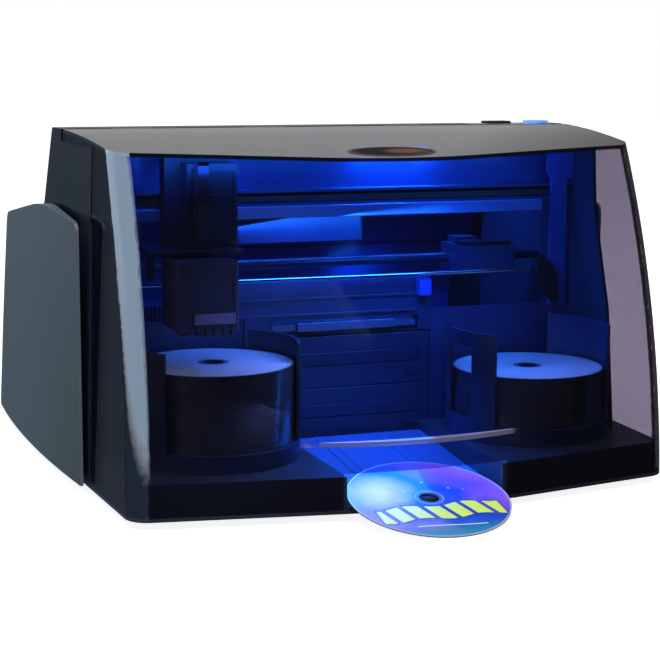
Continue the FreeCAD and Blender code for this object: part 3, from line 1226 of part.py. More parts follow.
def case_screws():
    """Back wall and bottom screws, one solid each."""
    screws = []
    side = BACK_HALF - 19.0
    spots = [(-side, 46.0), (side, 46.0), (0.0, 46.0), (-side, 88.0), (side, 88.0)]
    for x, z in spots:
        head = rod(x, BODY_DEPTH, z, 3.0, 1.6, "y").cut(
            box(x - 2.0, x + 2.0, BODY_DEPTH + 0.8, BODY_DEPTH + 3, z - 0.4, z + 0.4))
        screws.append(head)
    for x in (-120.0, 120.0):
        for y in (30.0, 300.0):
            screws.append(rod(x, y, PLATE_LOW - 1.6, 3.0, 1.6))
    return screws


# ---------------------------------------------------------------- assembly
def build():
    put("base_tray", base_tray())
    put("bottom_plate", bottom_plate())
    put("rubber_feet", *rubber_feet())
    put("side_panel_right", side_panel(COVER_SIDE_BACK[1] + PANEL_GAP))
    put("side_panel_left", mirrored(side_panel(COVER_SIDE_BACK[0] + PANEL_GAP)))
    put("rear_housing", rear_housing())
    plate = inner_plate()
    put("inner_plate_right", plate)
    put("inner_plate_left", mirrored(plate))
    put("front_cover", front_cover())
    put("badge_plate", badge_plate())
    put("hinge_rod", rod(-PLATE_X, HINGE_Y, HINGE_Z, HINGE_R, 2 * PLATE_X, "x"))
    put("control_plate", control_plate())
    put("power_button", power_button())
    put("reject_button", reject_button())
    put("control_board", control_board())

    put("rail_beam", rail_beam())
    put("carriage_rail", carriage_rail())
    bracket = rail_bracket()
    put("rail_bracket_right", bracket)
    put("rail_bracket_left", mirrored(bracket).cut(box(*RAIL_X, *RAIL_Y, *RAIL_Z)))
    put("cable_guide", cable_guide())
    put("tie_rod", tie_rod())
    put("robot_motor", robot_motor())
    put("robot_drive_pulley", robot_pulley(PULLEY_X[0]))
    put("robot_idler_pulley", robot_pulley(PULLEY_X[1]))
    put("robot_belt", robot_belt())
    put("carriage_tower", carriage_tower())
    put("lift_bar", lift_bar())
    put("picker_head", picker_head())
    put("gripper_plunger", gripper_plunger())
    put("flex_ribbon", flex_ribbon())
    put("upper_panel", upper_panel())
    put("led_board", led_board())

    put("bin_left", bin_moulding(-BIN_X))
    put("bin_right", bin_moulding(BIN_X))
    put("disc_stack_left", disc_stack(-BIN_X, LEFT_DISCS))
    put("disc_stack_right", disc_stack(BIN_X, RIGHT_DISCS))
    put("chute_ramp", chute_ramp())
    put("printed_disc", printed_disc())

    put("front_bulkhead", front_bulkhead())
    put("drive_cradle", drive_cradle())
    for level, z in (("lower", DRIVE_Z), ("upper", DRIVE_Z + DRIVE_PITCH)):
        put("drive_case_" + level, drive_case(z))
        put("drive_bezel_" + level, drive_bezel(z))
        put("drive_tray_" + level, drive_tray(z))
        put("eject_button_" + level, eject_button(z))
    put("tray_bed", tray_bed())
    put("printer_tray", printer_tray())
    put("tray_sensor", tray_sensor())
    put("guide_rod", guide_rod())
    put("print_carriage", print_carriage())
    put("ink_cartridges", *ink_cartridges())

    put("power_supply", power_supply())
    put("main_board", main_board())
    put("fan_frame", fan_frame())
    put("fan_rotor", fan_rotor())
    put("power_inlet", power_inlet())
    put("case_screws", *case_screws())


build()
os.makedirs("parts", exist_ok=True)
for name, shape in PARTS.items():
    shape.translate(V(0, -ORIGIN_Y, 0))
    shape.exportStep("parts/%s.step" % name)
print("pieces", len(PARTS), "origin y", round(ORIGIN_Y, 3))
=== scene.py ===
"""Disc label printer: finishes, rounded edges, a dust filter, lamps, studio and camera.

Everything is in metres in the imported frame: X is the width, Y runs to the back, Z is up from the table.
Colours are linear red, green and blue.
"""
import bmesh
import bpy
import json
import math
from mathutils import Matrix, Vector


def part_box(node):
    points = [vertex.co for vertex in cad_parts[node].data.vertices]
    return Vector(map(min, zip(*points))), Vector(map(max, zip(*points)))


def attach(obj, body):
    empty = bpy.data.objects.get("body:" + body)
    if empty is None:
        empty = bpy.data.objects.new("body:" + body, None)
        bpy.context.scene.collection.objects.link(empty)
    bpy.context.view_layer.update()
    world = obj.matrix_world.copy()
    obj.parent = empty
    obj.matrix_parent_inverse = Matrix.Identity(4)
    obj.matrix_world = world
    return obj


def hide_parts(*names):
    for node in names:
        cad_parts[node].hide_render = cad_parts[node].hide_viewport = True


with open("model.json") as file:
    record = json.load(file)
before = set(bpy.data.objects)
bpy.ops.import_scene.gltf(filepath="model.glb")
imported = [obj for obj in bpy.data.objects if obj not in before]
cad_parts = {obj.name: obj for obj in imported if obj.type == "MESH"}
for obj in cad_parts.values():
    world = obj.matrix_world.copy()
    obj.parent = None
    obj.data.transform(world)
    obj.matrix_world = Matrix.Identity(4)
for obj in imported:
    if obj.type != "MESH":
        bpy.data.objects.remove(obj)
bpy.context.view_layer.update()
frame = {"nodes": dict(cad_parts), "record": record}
RECORD = frame["record"]
NODES = frame["nodes"]
BODY_OF = {node: body for body, nodes in RECORD["behaviour"]["bodies"].items() for node in nodes}
SLOT_OF = {part["node"]: part["material_slot"] for part in RECORD["subparts"]}

WHITE = (1.0, 1.0, 1.0)
BLUE = (0.012, 0.18, 1.0)
PALE_BLUE = (0.34, 0.52, 0.95)
SPARK_GRAIN = 900.0      # fineness of spark-eroded plastic


# ---------------------------------------------------------------- shader maths
class Field:
    """A shader socket that takes part in sums."""

    def __init__(self, shading, socket):
        self.shading = shading
        self.socket = socket

    def maths(self, operation, *others, clamp=False):
        settings = {"operation": operation, "use_clamp": clamp}
        return self.shading.node("ShaderNodeMath", settings, dict(enumerate((self, *others))))

    def __add__(self, other):
        return self.maths("ADD", other)

    __radd__ = __add__

    def __mul__(self, other):
        return self.maths("MULTIPLY", other)

    __rmul__ = __mul__

    def __sub__(self, other):
        return self.maths("SUBTRACT", other)

    def __rsub__(self, other):
        return self.shading.node("ShaderNodeMath", {"operation": "SUBTRACT"}, {0: other, 1: self})

    def __truediv__(self, other):
        return self.maths("DIVIDE", other)

    def clamped(self):
        """No less than 0 and no more than 1."""
        return self.maths("ADD", 0.0, clamp=True)

    def above(self, edge, soft):
        """0 below the edge, 1 above it, with a soft step between."""
        return ((self - (edge - soft)) / (2 * soft)).clamped()

    def below(self, edge, soft):
        """1 below the edge, 0 above it."""
        return 1 - self.above(edge, soft)

    def within(self, low, high, soft=0.0003):
        """1 between two edges, 0 outside them."""
        return self.above(low, soft) * self.below(high, soft)


class Shading:
    """A node tree that is built by expressions."""

    def __init__(self, tree):
        self.tree = tree
        self.tree.nodes.clear()

    def node(self, kind, settings=None, values=None, output=0):
        """Add a node: its settings first, then a value or a link for each of its sockets."""
        made = self.tree.nodes.new(kind)
        for key, value in (settings or {}).items():
            if key == "stops":
                self.set_stops(made, value)
            else:
                setattr(made, key, value)
        for key, value in (values or {}).items():
            if isinstance(value, Field):
                self.tree.links.new(value.socket, made.inputs[key])
            else:
                made.inputs[key].default_value = value
        return Field(self, made.outputs[output])

    def set_stops(self, ramp, stops):
        elements = ramp.color_ramp.elements
        while len(elements) < len(stops):
            elements.new(0.5)
        for element, (place, colour) in zip(elements, stops):
            element.position = place
            element.color = (*colour, 1.0)

    def vector_maths(self, operation, first, second=None, output=0):
        values = {0: first} if second is None else {0: first, 1: second}
        return self.node("ShaderNodeVectorMath", {"operation": operation}, values, output)

    def place(self):
        return self.node("ShaderNodeTexCoord", output="Object")

    def axis(self, vector, name):
        """The X, Y or Z part of a vector."""
        return self.node("ShaderNodeSeparateXYZ", None, {0: vector}, output=name)

    def facing(self, name):
        """The X, Y or Z part of the direction in which the surface faces."""
        return self.axis(self.node("ShaderNodeNewGeometry", output="Normal"), name)

    def turned(self, origin=(0, 0, 0), turn=(0, 0, 0), scale=(1, 1, 1)):
        """Object coordinates measured from origin, turned and stretched."""
        moved = self.vector_maths("SUBTRACT", self.place(), origin)
        return self.node("ShaderNodeMapping", {"vector_type": "POINT"},
                         {"Vector": moved, "Rotation": turn, "Scale": scale})

    def radius(self, place):
        """Distance from the Z axis of these coordinates."""
        flat = self.vector_maths("MULTIPLY", place, (1, 1, 0))
        return self.vector_maths("LENGTH", flat, output="Value")

    def noise(self, scale, detail, roughness=0.5, vector=None):
        return self.node("ShaderNodeTexNoise", None,
                         {"Vector": vector or self.place(), "Scale": scale, "Detail": detail,
                          "Roughness": roughness})

    def blend(self, amount, first, second):
        """Colour between first and second."""
        colours = [value if isinstance(value, Field) else (*value, 1.0) for value in (first, second)]
        return self.node("ShaderNodeMix", {"data_type": "RGBA"},
                         {0: amount, 6: colours[0], 7: colours[1]}, output=2)

    def bump(self, height, distance):
        return self.node("ShaderNodeBump", None, {"Height": height, "Distance": distance, "Strength": 1.0})

    def principled(self, **inputs):
        """The main shader: its inputs are named with _ for each space."""
        values = {key.replace("_", " "): value for key, value in inputs.items()}
        for key in ("Base Color", "Emission Color"):
            if key in values and not isinstance(values[key], Field):
                values[key] = (*values[key], 1.0)
        return self.node("ShaderNodeBsdfPrincipled", None, values)

    def over_clear(self, share, tint, film):
        """The film's share over clear tinted plastic."""
        clear = self.node("ShaderNodeBsdfTransparent", None, {"Color": (*tint, 1.0)})
        return self.node("ShaderNodeMixShader", None, {0: share, 1: clear, 2: film})

    def end_in(self, kind, shader):
        output = self.tree.nodes.new(kind)
        self.tree.links.new(shader.socket, output.inputs["Surface"])


class Finish(Shading):
    """A material under construction."""

    def __init__(self, name):
        self.material = bpy.data.materials.new(name)
        self.material.use_nodes = True
        super().__init__(self.material.node_tree)

    def done(self, shader):
        self.end_in("ShaderNodeOutputMaterial", shader)
        return self.material


def shades(colour, darker, lighter):
    """A darker and a lighter shade of a colour."""
    return tuple(c * darker for c in colour), tuple(min(1.0, c * lighter) for c in colour)


def uneven(gloss, cloud, fine):
    """Roughness that drifts with the clouds and flickers with the grain."""
    return gloss + (cloud - 0.5) * 0.10 + (fine - 0.5) * 0.08


# ---------------------------------------------------------------- plain finishes
def moulded(name, colour, roughness, grain=SPARK_GRAIN, depth=0.00004, mottle=0.12, coat=0.0, specular=0.5):
    """Injection-moulded plastic: fine spark grain, faint flow mottling and slightly uneven gloss."""
    f = Finish(name)
    cloud = f.noise(9.0, 4.0)
    fine = f.noise(grain, 2.0, 0.6)
    dark, light = shades(colour, 1 - mottle, 1 + mottle)
    return f.done(f.principled(Base_Color=f.blend(cloud, dark, light),
                               Roughness=uneven(roughness, cloud, fine),
                               Specular_IOR_Level=specular, Coat_Weight=coat, Coat_Roughness=0.12,
                               Normal=f.bump(fine, depth)))


def sheet_metal(name, colour, roughness=0.34):
    """Rolled sheet: long faint draw lines and a few duller clouds."""
    f = Finish(name)
    lines = f.noise(26.0, 3.0, 0.6, f.turned(scale=(1.0, 60.0, 60.0)))
    cloud = f.noise(14.0, 3.0)
    dark, light = shades(colour, 0.86, 1.1)
    gloss = roughness + (lines - 0.5) * 0.16 + (cloud - 0.5) * 0.12
    return f.done(f.principled(Base_Color=f.blend(lines, dark, light), Metallic=1.0,
                               Roughness=gloss, Normal=f.bump(lines, 0.00003)))


def painted(name, colour, roughness=0.4):
    """Powder coat on steel: fine orange peel."""
    f = Finish(name)
    peel = f.noise(420.0, 2.0, 0.5)
    cloud = f.noise(11.0, 3.0)
    dark, light = shades(colour, 0.88, 1.1)
    return f.done(f.principled(Base_Color=f.blend(cloud, dark, light),
                               Roughness=roughness + (cloud - 0.5) * 0.12,
                               Normal=f.bump(peel, 0.00005)))


def ground_rod(name):
    """Ground steel with very fine rings."""
    f = Finish(name)
    rings = f.noise(300.0, 2.0, 0.6, f.turned(scale=(1.0, 0.05, 0.05)))
    cloud = f.noise(20.0, 2.0)
    return f.done(f.principled(Base_Color=f.blend(cloud, (0.60, 0.61, 0.63), (0.74, 0.75, 0.77)),
                               Metallic=1.0, Roughness=0.16 + (rings - 0.5) * 0.10,
                               Normal=f.bump(rings, 0.00001)))


def lit_lens(name, colour, strength):
    """Lit diffusing plastic, brighter in patches."""
    f = Finish(name)
    cloud = f.noise(60.0, 2.0)
    dim = tuple(c * 0.35 for c in colour)
    return f.done(f.principled(Base_Color=f.blend(cloud, dim, colour), Roughness=0.25,
                               Emission_Color=f.blend(cloud, dim, colour), Emission_Strength=strength))


def circuit_board(name):
    """Green solder mask with rows of pale pads and dark traces."""
    f = Finish(name)
    cells = f.node("ShaderNodeTexVoronoi", {"feature": "DISTANCE_TO_EDGE"},
                   {"Vector": f.place(), "Scale": 260.0})
    pads = cells.below(0.10, 0.03)
    traces = f.noise(90.0, 1.0, 0.3).within(0.47, 0.53, 0.01)
    mask = f.blend(traces, (0.010, 0.075, 0.035), (0.020, 0.140, 0.060))
    return f.done(f.principled(Base_Color=f.blend(pads * 0.25, mask, (0.55, 0.55, 0.50)),
                               Roughness=0.35 + traces * 0.10, Normal=f.bump(traces, 0.00005)))


def floor_finish(name):
    """Pale matt board with a little light of its own."""
    f = Finish(name)
    cloud = f.noise(1.5, 2.0)
    return f.done(f.principled(Base_Color=f.blend(cloud, (0.92, 0.92, 0.92), (0.95, 0.95, 0.95)),
                               Roughness=0.6 + (cloud - 0.5) * 0.05,
                               Emission_Color=WHITE, Emission_Strength=0.88))


# ---------------------------------------------------------------- finishes of the case
WING_LIT_BAND = (-0.03, 0.17)            # front and back of the painted pool of light down the side panels
BLUE_LIT_FROM = 0.05                   # the painted blue lamp light inside the housing starts here
SEAMS = ((0.128, 0.133), (0.150, 0.153))     # lower and upper edges of the level seams
COLLAR_BACK, COLLAR_TOP = -0.035, 0.205      # where the painted light on the housing's collar ends
TOP_POINTS = ((-0.400, 0.2554), (-0.320, 0.2664), (-0.240, 0.2716))   # the top's arc, Y from the back wall
TOP_SKIN = 0.0026                    # depth of the dark skin under it
LEDGE_X = (-0.094, 0.070)            # the cover's finger ledge, across
LEDGE_Z = (0.0548, 0.0586)           # its under and upper face
LEDGE_BACK, LEDGE_BEND = -0.1999, 1.20       # it stands out from this bowed line


def wing_finish(name):
    """Slate side panel: fine grain, a painted pool of light down its middle and a painted highlight on its
    front edge.
    """
    f = Finish(name)
    cloud = f.noise(7.0, 3.0)
    fine = f.noise(SPARK_GRAIN, 2.0, 0.6)
    depth = f.axis(f.place(), "Y")
    # painted light: a paler band down the middle of the panel
    painted_light_band = depth.above(WING_LIT_BAND[0], 0.08) * depth.below(WING_LIT_BAND[1], 0.09)
    plain = f.blend(cloud, (0.108, 0.145, 0.163), (0.122, 0.163, 0.183))
    lit = f.blend(painted_light_band * 0.7, plain, (0.165, 0.205, 0.222))
    # painted highlight: the faces that look to the front are painted pale
    edge = f.facing("Y").below(-0.55, 0.15)
    return f.done(f.principled(Base_Color=f.blend(edge, lit, (0.42, 0.48, 0.52)),
                               Roughness=uneven(0.46, cloud, fine),
                               Specular_IOR_Level=0.30, Normal=f.bump(fine, 0.00004)))


def housing_finish(name):
    """Dark spark-eroded plastic with painted light on a paler collar; the inside of the back is painted
    blue lamp light, with level seams.
    """
    f = Finish(name)
    cloud = f.noise(9.0, 4.0)
    fine = f.noise(SPARK_GRAIN, 2.0, 0.6)
    # painted light: the inside faces of the back are given the blue of the lamps as colour
    blue_lit_inside = f.facing("Y").below(-0.3, 0.05) * f.axis(f.place(), "Y").above(BLUE_LIT_FROM, 0.01)
    height = f.axis(f.place(), "Z")
    seams = height.within(*SEAMS[0], 0.0006) + height.within(*SEAMS[1], 0.0006)
    outer = f.blend(cloud, (0.015, 0.016, 0.022), (0.018, 0.019, 0.026))
    painted_blue_inner = f.blend(seams, (0.010, 0.050, 0.20), (0.005, 0.020, 0.09))
    # painted light: the collar is painted paler to lift it out of the side panel's shade
    collar_light = f.axis(f.place(), "Y").below(COLLAR_BACK, 0.002) * height.below(COLLAR_TOP, 0.004)
    with_collar_light = f.blend(collar_light * 0.9, outer, (0.080, 0.110, 0.170))
    return f.done(f.principled(Base_Color=f.blend(blue_lit_inside, with_collar_light, painted_blue_inner),
                               Roughness=uneven(0.30, cloud, fine),
                               Specular_IOR_Level=0.12, Normal=f.bump(fine, 0.00004)))


def arc_through(*points):
    """Middle and radius of the arc through three points, worked out on complex numbers."""
    first, second, third = (complex(*point) for point in points)
    bend = (third - first) / (second - first)
    middle = first + (second - first) * (bend - abs(bend) ** 2) / (2j * bend.imag)
    return middle.real, middle.imag, abs(middle - first)


def smoked_acrylic(name, smoke, tint):
    """Clear smoked acrylic: a dark film that hides smoke's share of what lies behind.

    The top is close to opaque. The rounded corners are near opaque too and carry painted light: a pale blue
    painted reflection of the bright wall on the left, painted shade on the right. The finger ledge is
    painted pale as a painted highlight; swirls are faint.
    """
    f = Finish(name)
    swirl = f.noise(160.0, 5.0, 0.7)
    cloud = f.noise(5.0, 2.0)
    x, depth, height = (f.axis(f.place(), axis) for axis in "XYZ")
    back_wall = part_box("rear_housing")[1].y
    arc_y, arc_z, arc_r = arc_through(*((back_wall + y, z) for y, z in TOP_POINTS))
    rise = height - arc_z
    along = depth - arc_y
    top = (rise * rise + along * along).maths("SQRT").above(arc_r - TOP_SKIN, 0.0003)
    right = x.above(0.0, 0.001)
    outward = f.facing("X") * (right * 2 - 1)
    outward_band = outward.within(0.25, 0.985, 0.03) * (1 - right) + outward.within(0.40, 0.985, 0.04) * right
    corner_glint_and_shade = outward_band * f.facing("Z").below(0.5, 0.1)
    before = LEDGE_BACK + x * x * LEDGE_BEND - depth
    ledge = height.within(*LEDGE_Z, 0.0002) * before.above(0.0, 0.0002) * x.within(*LEDGE_X, 0.003)
    # painted reflection: the left corner's film is pale blue; painted shade: the right corner's film is
    # near black and almost opaque
    dark = f.blend(corner_glint_and_shade * (1 - right), (0.004, 0.005, 0.009), (0.075, 0.110, 0.190))
    # painted highlight: the finger ledge is painted pale
    base = f.blend(ledge, dark, (0.58, 0.52, 0.62))
    film = f.principled(Base_Color=base, Roughness=0.025 + (swirl - 0.5) * 0.012, IOR=2.1)
    wall = smoke + (cloud - 0.5) * 0.03
    glint_and_shade_share = wall + corner_glint_and_shade * (0.85 + right * 0.12 - wall)
    ledge_highlight_share = glint_and_shade_share + ledge * (0.80 - glint_and_shade_share)
    return f.done(f.over_clear(ledge_highlight_share + top * (0.985 - ledge_highlight_share), tint, film))


def button_cap(name):
    """Clear grey cap: its upright sides look dark, its top lets light through."""
    f = Finish(name)
    cloud = f.noise(120.0, 2.0)
    flat = f.facing("Z").above(0.7, 0.1)
    base = f.blend(flat, (0.012, 0.013, 0.020), (0.20, 0.21, 0.24))
    film = f.principled(Base_Color=base, Roughness=0.12 + (cloud - 0.5) * 0.06, Specular_IOR_Level=0.25)
    return f.done(f.over_clear(0.92 - flat * 0.37, (0.93, 0.93, 0.97), film))


def badge_finish(name):
    """Dark enamelled oval with a warm glow on its right and a thin bronze rim."""
    f = Finish(name)
    low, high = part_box("badge_plate")
    place = f.turned(tuple(0.5 * (low + high)))
    across = f.axis(place, "X") / (0.5 * (high.x - low.x))
    along = f.axis(place, "Y") / (0.5 * (high.y - low.y))
    out = across * across + along * along
    cloud = f.noise(40.0, 3.0)
    plain = f.blend(cloud, (0.004, 0.003, 0.004), (0.014, 0.009, 0.009))
    off = across - 0.32
    warm = (off * off * 3.0 + along * along * 2.2 + (cloud - 0.5) * 0.4).below(0.55, 0.40)
    enamel = f.blend(warm * 0.6, plain, (0.30, 0.13, 0.075))
    rim = (out.above(0.84, 0.02) + out.within(0.70, 0.76, 0.01) * 0.4).clamped()
    return f.done(f.principled(Base_Color=f.blend(rim, enamel, (0.13, 0.10, 0.095)),
                               Roughness=0.55 + (cloud - 0.5) * 0.1, Specular_IOR_Level=0.02))


# ---------------------------------------------------------------- finishes of the works and the discs
PILE_PRINTABLE = (0.0115, 0.0585)    # inner and outer radius of a blank disc's white face
PILE_RING = (0.0165, 0.0172)         # moulded ring in it
INKED = (0.0119, 0.0588)             # inner and outer radius of the printed face
HUB_RING = (0.0100, 0.0106)          # moulded ring in the printed disc's clear hub, painted pale as a painted highlight
EJECT_TILT = math.radians(12.0)      # the printed disc slopes down to the front


def lamp_board(name):
    """Dark board whose lamps, below it, glow blue."""
    f = Finish(name)
    board_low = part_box("led_board")[0].z + 0.0016
    glow = f.axis(f.place(), "Z").below(board_low, 0.0002)
    grain = f.noise(300.0, 2.0)
    return f.done(f.principled(Base_Color=f.blend(grain, (0.01, 0.05, 0.03), (0.02, 0.09, 0.05)),
                               Roughness=0.4,
                               Emission_Color=f.blend(glow, (0, 0, 0), (0.25, 0.55, 1.0)),
                               Emission_Strength=6.0))


def head_plastic(name):
    """Dark moulding with a bare matt plate on its front and a pale strip above the comb; its left face is
    painted paler, a painted sheen.
    """
    f = Finish(name)
    low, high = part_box("picker_head")
    strip_low = high.z - 0.0455
    x, z = (f.axis(f.place(), axis) for axis in "XZ")
    front = f.facing("Y").below(-0.7, 0.05)
    strip = front * z.within(strip_low, strip_low + 0.0080) * x.within(low.x + 0.012, high.x - 0.003)
    # painted light: the faces that look left are painted a paler mauve, a painted sheen
    lit_left_face = f.facing("X").below(-0.7, 0.05)
    grain = f.noise(800.0, 2.0)
    base = f.blend(grain, (0.030, 0.042, 0.090), (0.040, 0.052, 0.105))
    with_lit_left_face = f.blend(lit_left_face, base, (0.15, 0.12, 0.17))
    fronted = f.blend(front, with_lit_left_face, f.blend(grain, (0.040, 0.055, 0.110), (0.050, 0.067, 0.130)))
    return f.done(f.principled(Base_Color=f.blend(strip * 0.8, fronted, (0.30, 0.33, 0.62)),
                               Roughness=0.42 + front * 0.15 + (grain - 0.5) * 0.1,
                               Normal=f.bump(grain, 0.00004)))


def disc_pile(name, node):
    """White printable tops over clear hubs; the rims are dark, glossy and finely lined."""
    f = Finish(name)
    low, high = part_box(node)
    place = f.turned((0.5 * (low.x + high.x), 0.5 * (low.y + high.y), 0.0))
    radius = f.radius(place)
    upward = f.facing("Z").above(0.7, 0.05) * f.axis(place, "Z").above(high.z - 0.0004, 0.0001)
    printable = radius.above(PILE_PRINTABLE[0], 0.0002) * radius.below(PILE_PRINTABLE[1], 0.0002)
    ring = radius.within(*PILE_RING, 0.0001)
    grain = f.noise(700.0, 2.0)
    white = f.blend(grain, (0.70, 0.72, 0.75), (0.78, 0.80, 0.83))
    face = f.blend(printable * (1 - ring * 0.35), (0.10, 0.11, 0.14), white)
    line = f.noise(1.0, 0.0, 0.5, f.turned(scale=(0.0, 0.0, 833.3)))
    rim = f.blend(line, (0.010, 0.012, 0.022), (0.040, 0.045, 0.070))
    return f.done(f.principled(Base_Color=f.blend(upward, rim, face),
                               Roughness=0.22 + upward * 0.28 + (grain - 0.5) * 0.05,
                               Coat_Weight=0.4, Coat_Roughness=0.15))


def lime_ribbon(f, x, y, ground):
    """Leaning lime bars with dark edges along a wavy ribbon, over the ground."""
    step = (x + y * 0.30) * 66.0 + 10.0
    level = y + 0.0215 + (step * 2.1).maths("SINE") * 0.0022
    edge = step.maths("FRACT").within(0.04, 0.90, 0.03) * level.within(-0.0120, 0.0110, 0.0005)
    edged = f.blend(edge * x.within(-0.048, 0.048, 0.0006), ground, (0.02, 0.03, 0.20))
    bars = step.maths("FRACT").within(0.10, 0.84, 0.03) * level.within(-0.0105, 0.0095, 0.0005)
    return f.blend(bars * x.within(-0.047, 0.047, 0.0006), edged, (0.62, 0.80, 0.09))


def printed_face(name):
    """Printed disc: drifting bands of blue, violet and rose, a few pale sparks and a lime ribbon; its
    printed face also glows a little as painted light.
    """
    f = Finish(name)
    low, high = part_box("printed_disc")
    place = f.turned(tuple(0.5 * (low + high)), (-EJECT_TILT, 0.0, 0.0))
    x, y, z = (f.axis(place, axis) for axis in "XYZ")
    radius = f.radius(place)
    drift = f.noise(22.0, 5.0, 0.6, place)
    haze = f.noise(55.0, 4.0, 0.6, place)
    bands = f.node("ShaderNodeValToRGB",
                   {"stops": [(0.0, (0.34, 0.22, 0.42)), (0.22, (0.20, 0.20, 0.62)),
                              (0.45, (0.02, 0.09, 0.55)), (0.62, (0.01, 0.05, 0.42)),
                              (0.80, (0.16, 0.07, 0.50)), (1.0, (0.30, 0.10, 0.48))]},
                   {0: x * 6.0 + y * 4.0 + drift * 0.9 + 0.10})
    glow_x, glow_y = x + 0.034, y - 0.016
    glow = ((glow_x * glow_x + glow_y * glow_y).maths("SQRT") + (drift - 0.5) * 0.02).below(0.018, 0.012)
    lit = f.blend(glow * 0.85, bands, (0.80, 0.62, 0.74))
    teal = (y + (drift - 0.5) * 0.012).below(-0.046, 0.007)
    footed = f.blend(teal * 0.8, lit, (0.02, 0.24, 0.34))
    ribboned = lime_ribbon(f, x, y, footed)
    pinstripe = (y + (x * 60.0).maths("SINE") * 0.002).within(-0.0440, -0.0428, 0.0003)
    striped = f.blend(pinstripe * x.within(-0.026, 0.026) * 0.8, ribboned, (0.75, 0.80, 0.88))
    spark = f.node("ShaderNodeTexVoronoi", None, {"Vector": place, "Scale": 95.0})
    dots = spark.below(0.12, 0.03) * haze.above(0.50, 0.02) * y.above(0.004, 0.002)
    dotted = f.blend(dots * 0.8, striped, (0.50, 0.62, 0.95))
    inked = radius.above(INKED[0], 0.0002) * radius.below(INKED[1], 0.0002)
    # painted highlight: the moulded ring in the hub is painted pale blue
    hub = f.blend(radius.within(*HUB_RING, 0.0001), (0.05, 0.09, 0.30), (0.30, 0.38, 0.70))
    bare = f.blend(radius.above(0.0400, 0.001), hub, (0.30, 0.40, 0.60))
    face = f.blend(inked, bare, dotted)
    under = f.blend(drift, (0.30, 0.30, 0.42), (0.42, 0.40, 0.36))
    upper = z.above(0.0, 0.0001)
    # painted light: the printed face glows with its own colour, though it is no lamp
    return f.done(f.principled(Base_Color=f.blend(upper, under, face), Roughness=0.30 + (haze - 0.5) * 0.08,
                               Emission_Color=f.blend(upper, (0.0, 0.0, 0.0), face), Emission_Strength=0.55,
                               Coat_Weight=0.5, Coat_Roughness=0.06))


# ---------------------------------------------------------------- shapes
SHARP = math.radians(32.0)           # edges that bend more than this are rounded
FLAT = math.radians(0.6)             # faces that bend less than this are joined
WELD = 0.000002                      # corners closer than this are one
ROUND_STEPS = 2
KEEPS_ITS_FACES = "rear_housing"     # its back wall has too many openings for joined faces
EDGE_ROUNDING = {
    "front_cover": 0.0009, "base_tray": 0.0006, "rear_housing": 0.0008, "side_panel_left": 0.0012,
    "side_panel_right": 0.0012, "badge_plate": 0.0003, "control_plate": 0.0002, "bin_left": 0.0005,
    "bin_right": 0.0005, "carriage_tower": 0.0005, "lift_bar": 0.0004, "rail_beam": 0.0004,
    "rail_bracket_left": 0.0002, "rail_bracket_right": 0.0002, "drive_bezel_lower": 0.0003,
    "drive_bezel_upper": 0.0003, "drive_tray_lower": 0.0003, "drive_tray_upper": 0.0003,
    "printer_tray": 0.0003, "front_bulkhead": 0.0002, "upper_panel": 0.0003, "power_inlet": 0.0003,
    "fan_frame": 0.0003,
}
FILTER_X = (-0.108, 0.020)           # the dust filter covers the slots of the back wall
FILTER_Z = (0.063, 0.093)
FILTER_Y = 0.2520
FILTER_PLEATS = 64
FILTER_FOLD = 0.0018                 # depth of a pleat
FILTER_T = 0.0004


def added(name, data):
    """A new object of the scene."""
    piece = bpy.data.objects.new(name, data)
    bpy.context.scene.collection.objects.link(piece)
    return piece


def paint(piece, material):
    """Give a new piece its finish."""
    piece.data.materials.clear()
    piece.data.materials.append(material)


def repaint(node, material):
    """Give a CAD node its finish without touching its mesh."""
    for slot in NODES[node].material_slots:
        slot.link = "OBJECT"
        slot.material = material


def softened(node):
    """The node's own shape with its edges rounded and its curves smooth, in its place."""
    mesh = NODES[node].data.copy()
    bm = bmesh.new()
    bm.from_mesh(mesh)
    bmesh.ops.remove_doubles(bm, verts=bm.verts, dist=WELD)
    if node != KEEPS_ITS_FACES:
        bmesh.ops.dissolve_limit(bm, angle_limit=FLAT, verts=bm.verts, edges=bm.edges)
    bm.to_mesh(mesh)
    bm.free()
    mesh.shade_smooth()
    mesh.set_sharp_from_angle(angle=SHARP)
    piece = added(node + "_form", mesh)
    bevel = piece.modifiers.new("edges", "BEVEL")
    bevel.width = EDGE_ROUNDING[node]
    bevel.segments = ROUND_STEPS
    bevel.limit_method = "ANGLE"
    bevel.angle_limit = SHARP
    bevel.miter_outer = "MITER_ARC"
    flat = piece.modifiers.new("flat_faces", "WEIGHTED_NORMAL")
    flat.mode = "FACE_AREA"
    flat.weight = 100
    flat.keep_sharp = True
    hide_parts(node)
    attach(piece, BODY_OF[node])
    return piece


def vent_filter(material):
    """Pleated dust filter standing just inside the slots of the back wall."""
    pleat = (FILTER_X[1] - FILTER_X[0]) / FILTER_PLEATS
    bm = bmesh.new()
    edge = bm.edges.new([bm.verts.new((FILTER_X[0], FILTER_Y, z)) for z in FILTER_Z])
    for i in range(FILTER_PLEATS):
        grown = bmesh.ops.extrude_edge_only(bm, edges=[edge])["geom"]
        ends = [part for part in grown if isinstance(part, bmesh.types.BMVert)]
        way = FILTER_FOLD if i % 2 == 0 else -FILTER_FOLD
        bmesh.ops.translate(bm, vec=(pleat, way, 0.0), verts=ends)
        edge = bm.edges.get(ends)
    mesh = bpy.data.meshes.new("vent_filter")
    bm.to_mesh(mesh)
    bm.free()
    piece = added("vent_filter", mesh)
    outward_band = piece.modifiers.new("thickness", "SOLIDIFY")
    outward_band.thickness = FILTER_T
    outward_band.offset = 0.0
    paint(piece, material)
    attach(piece, BODY_OF["rear_housing"])


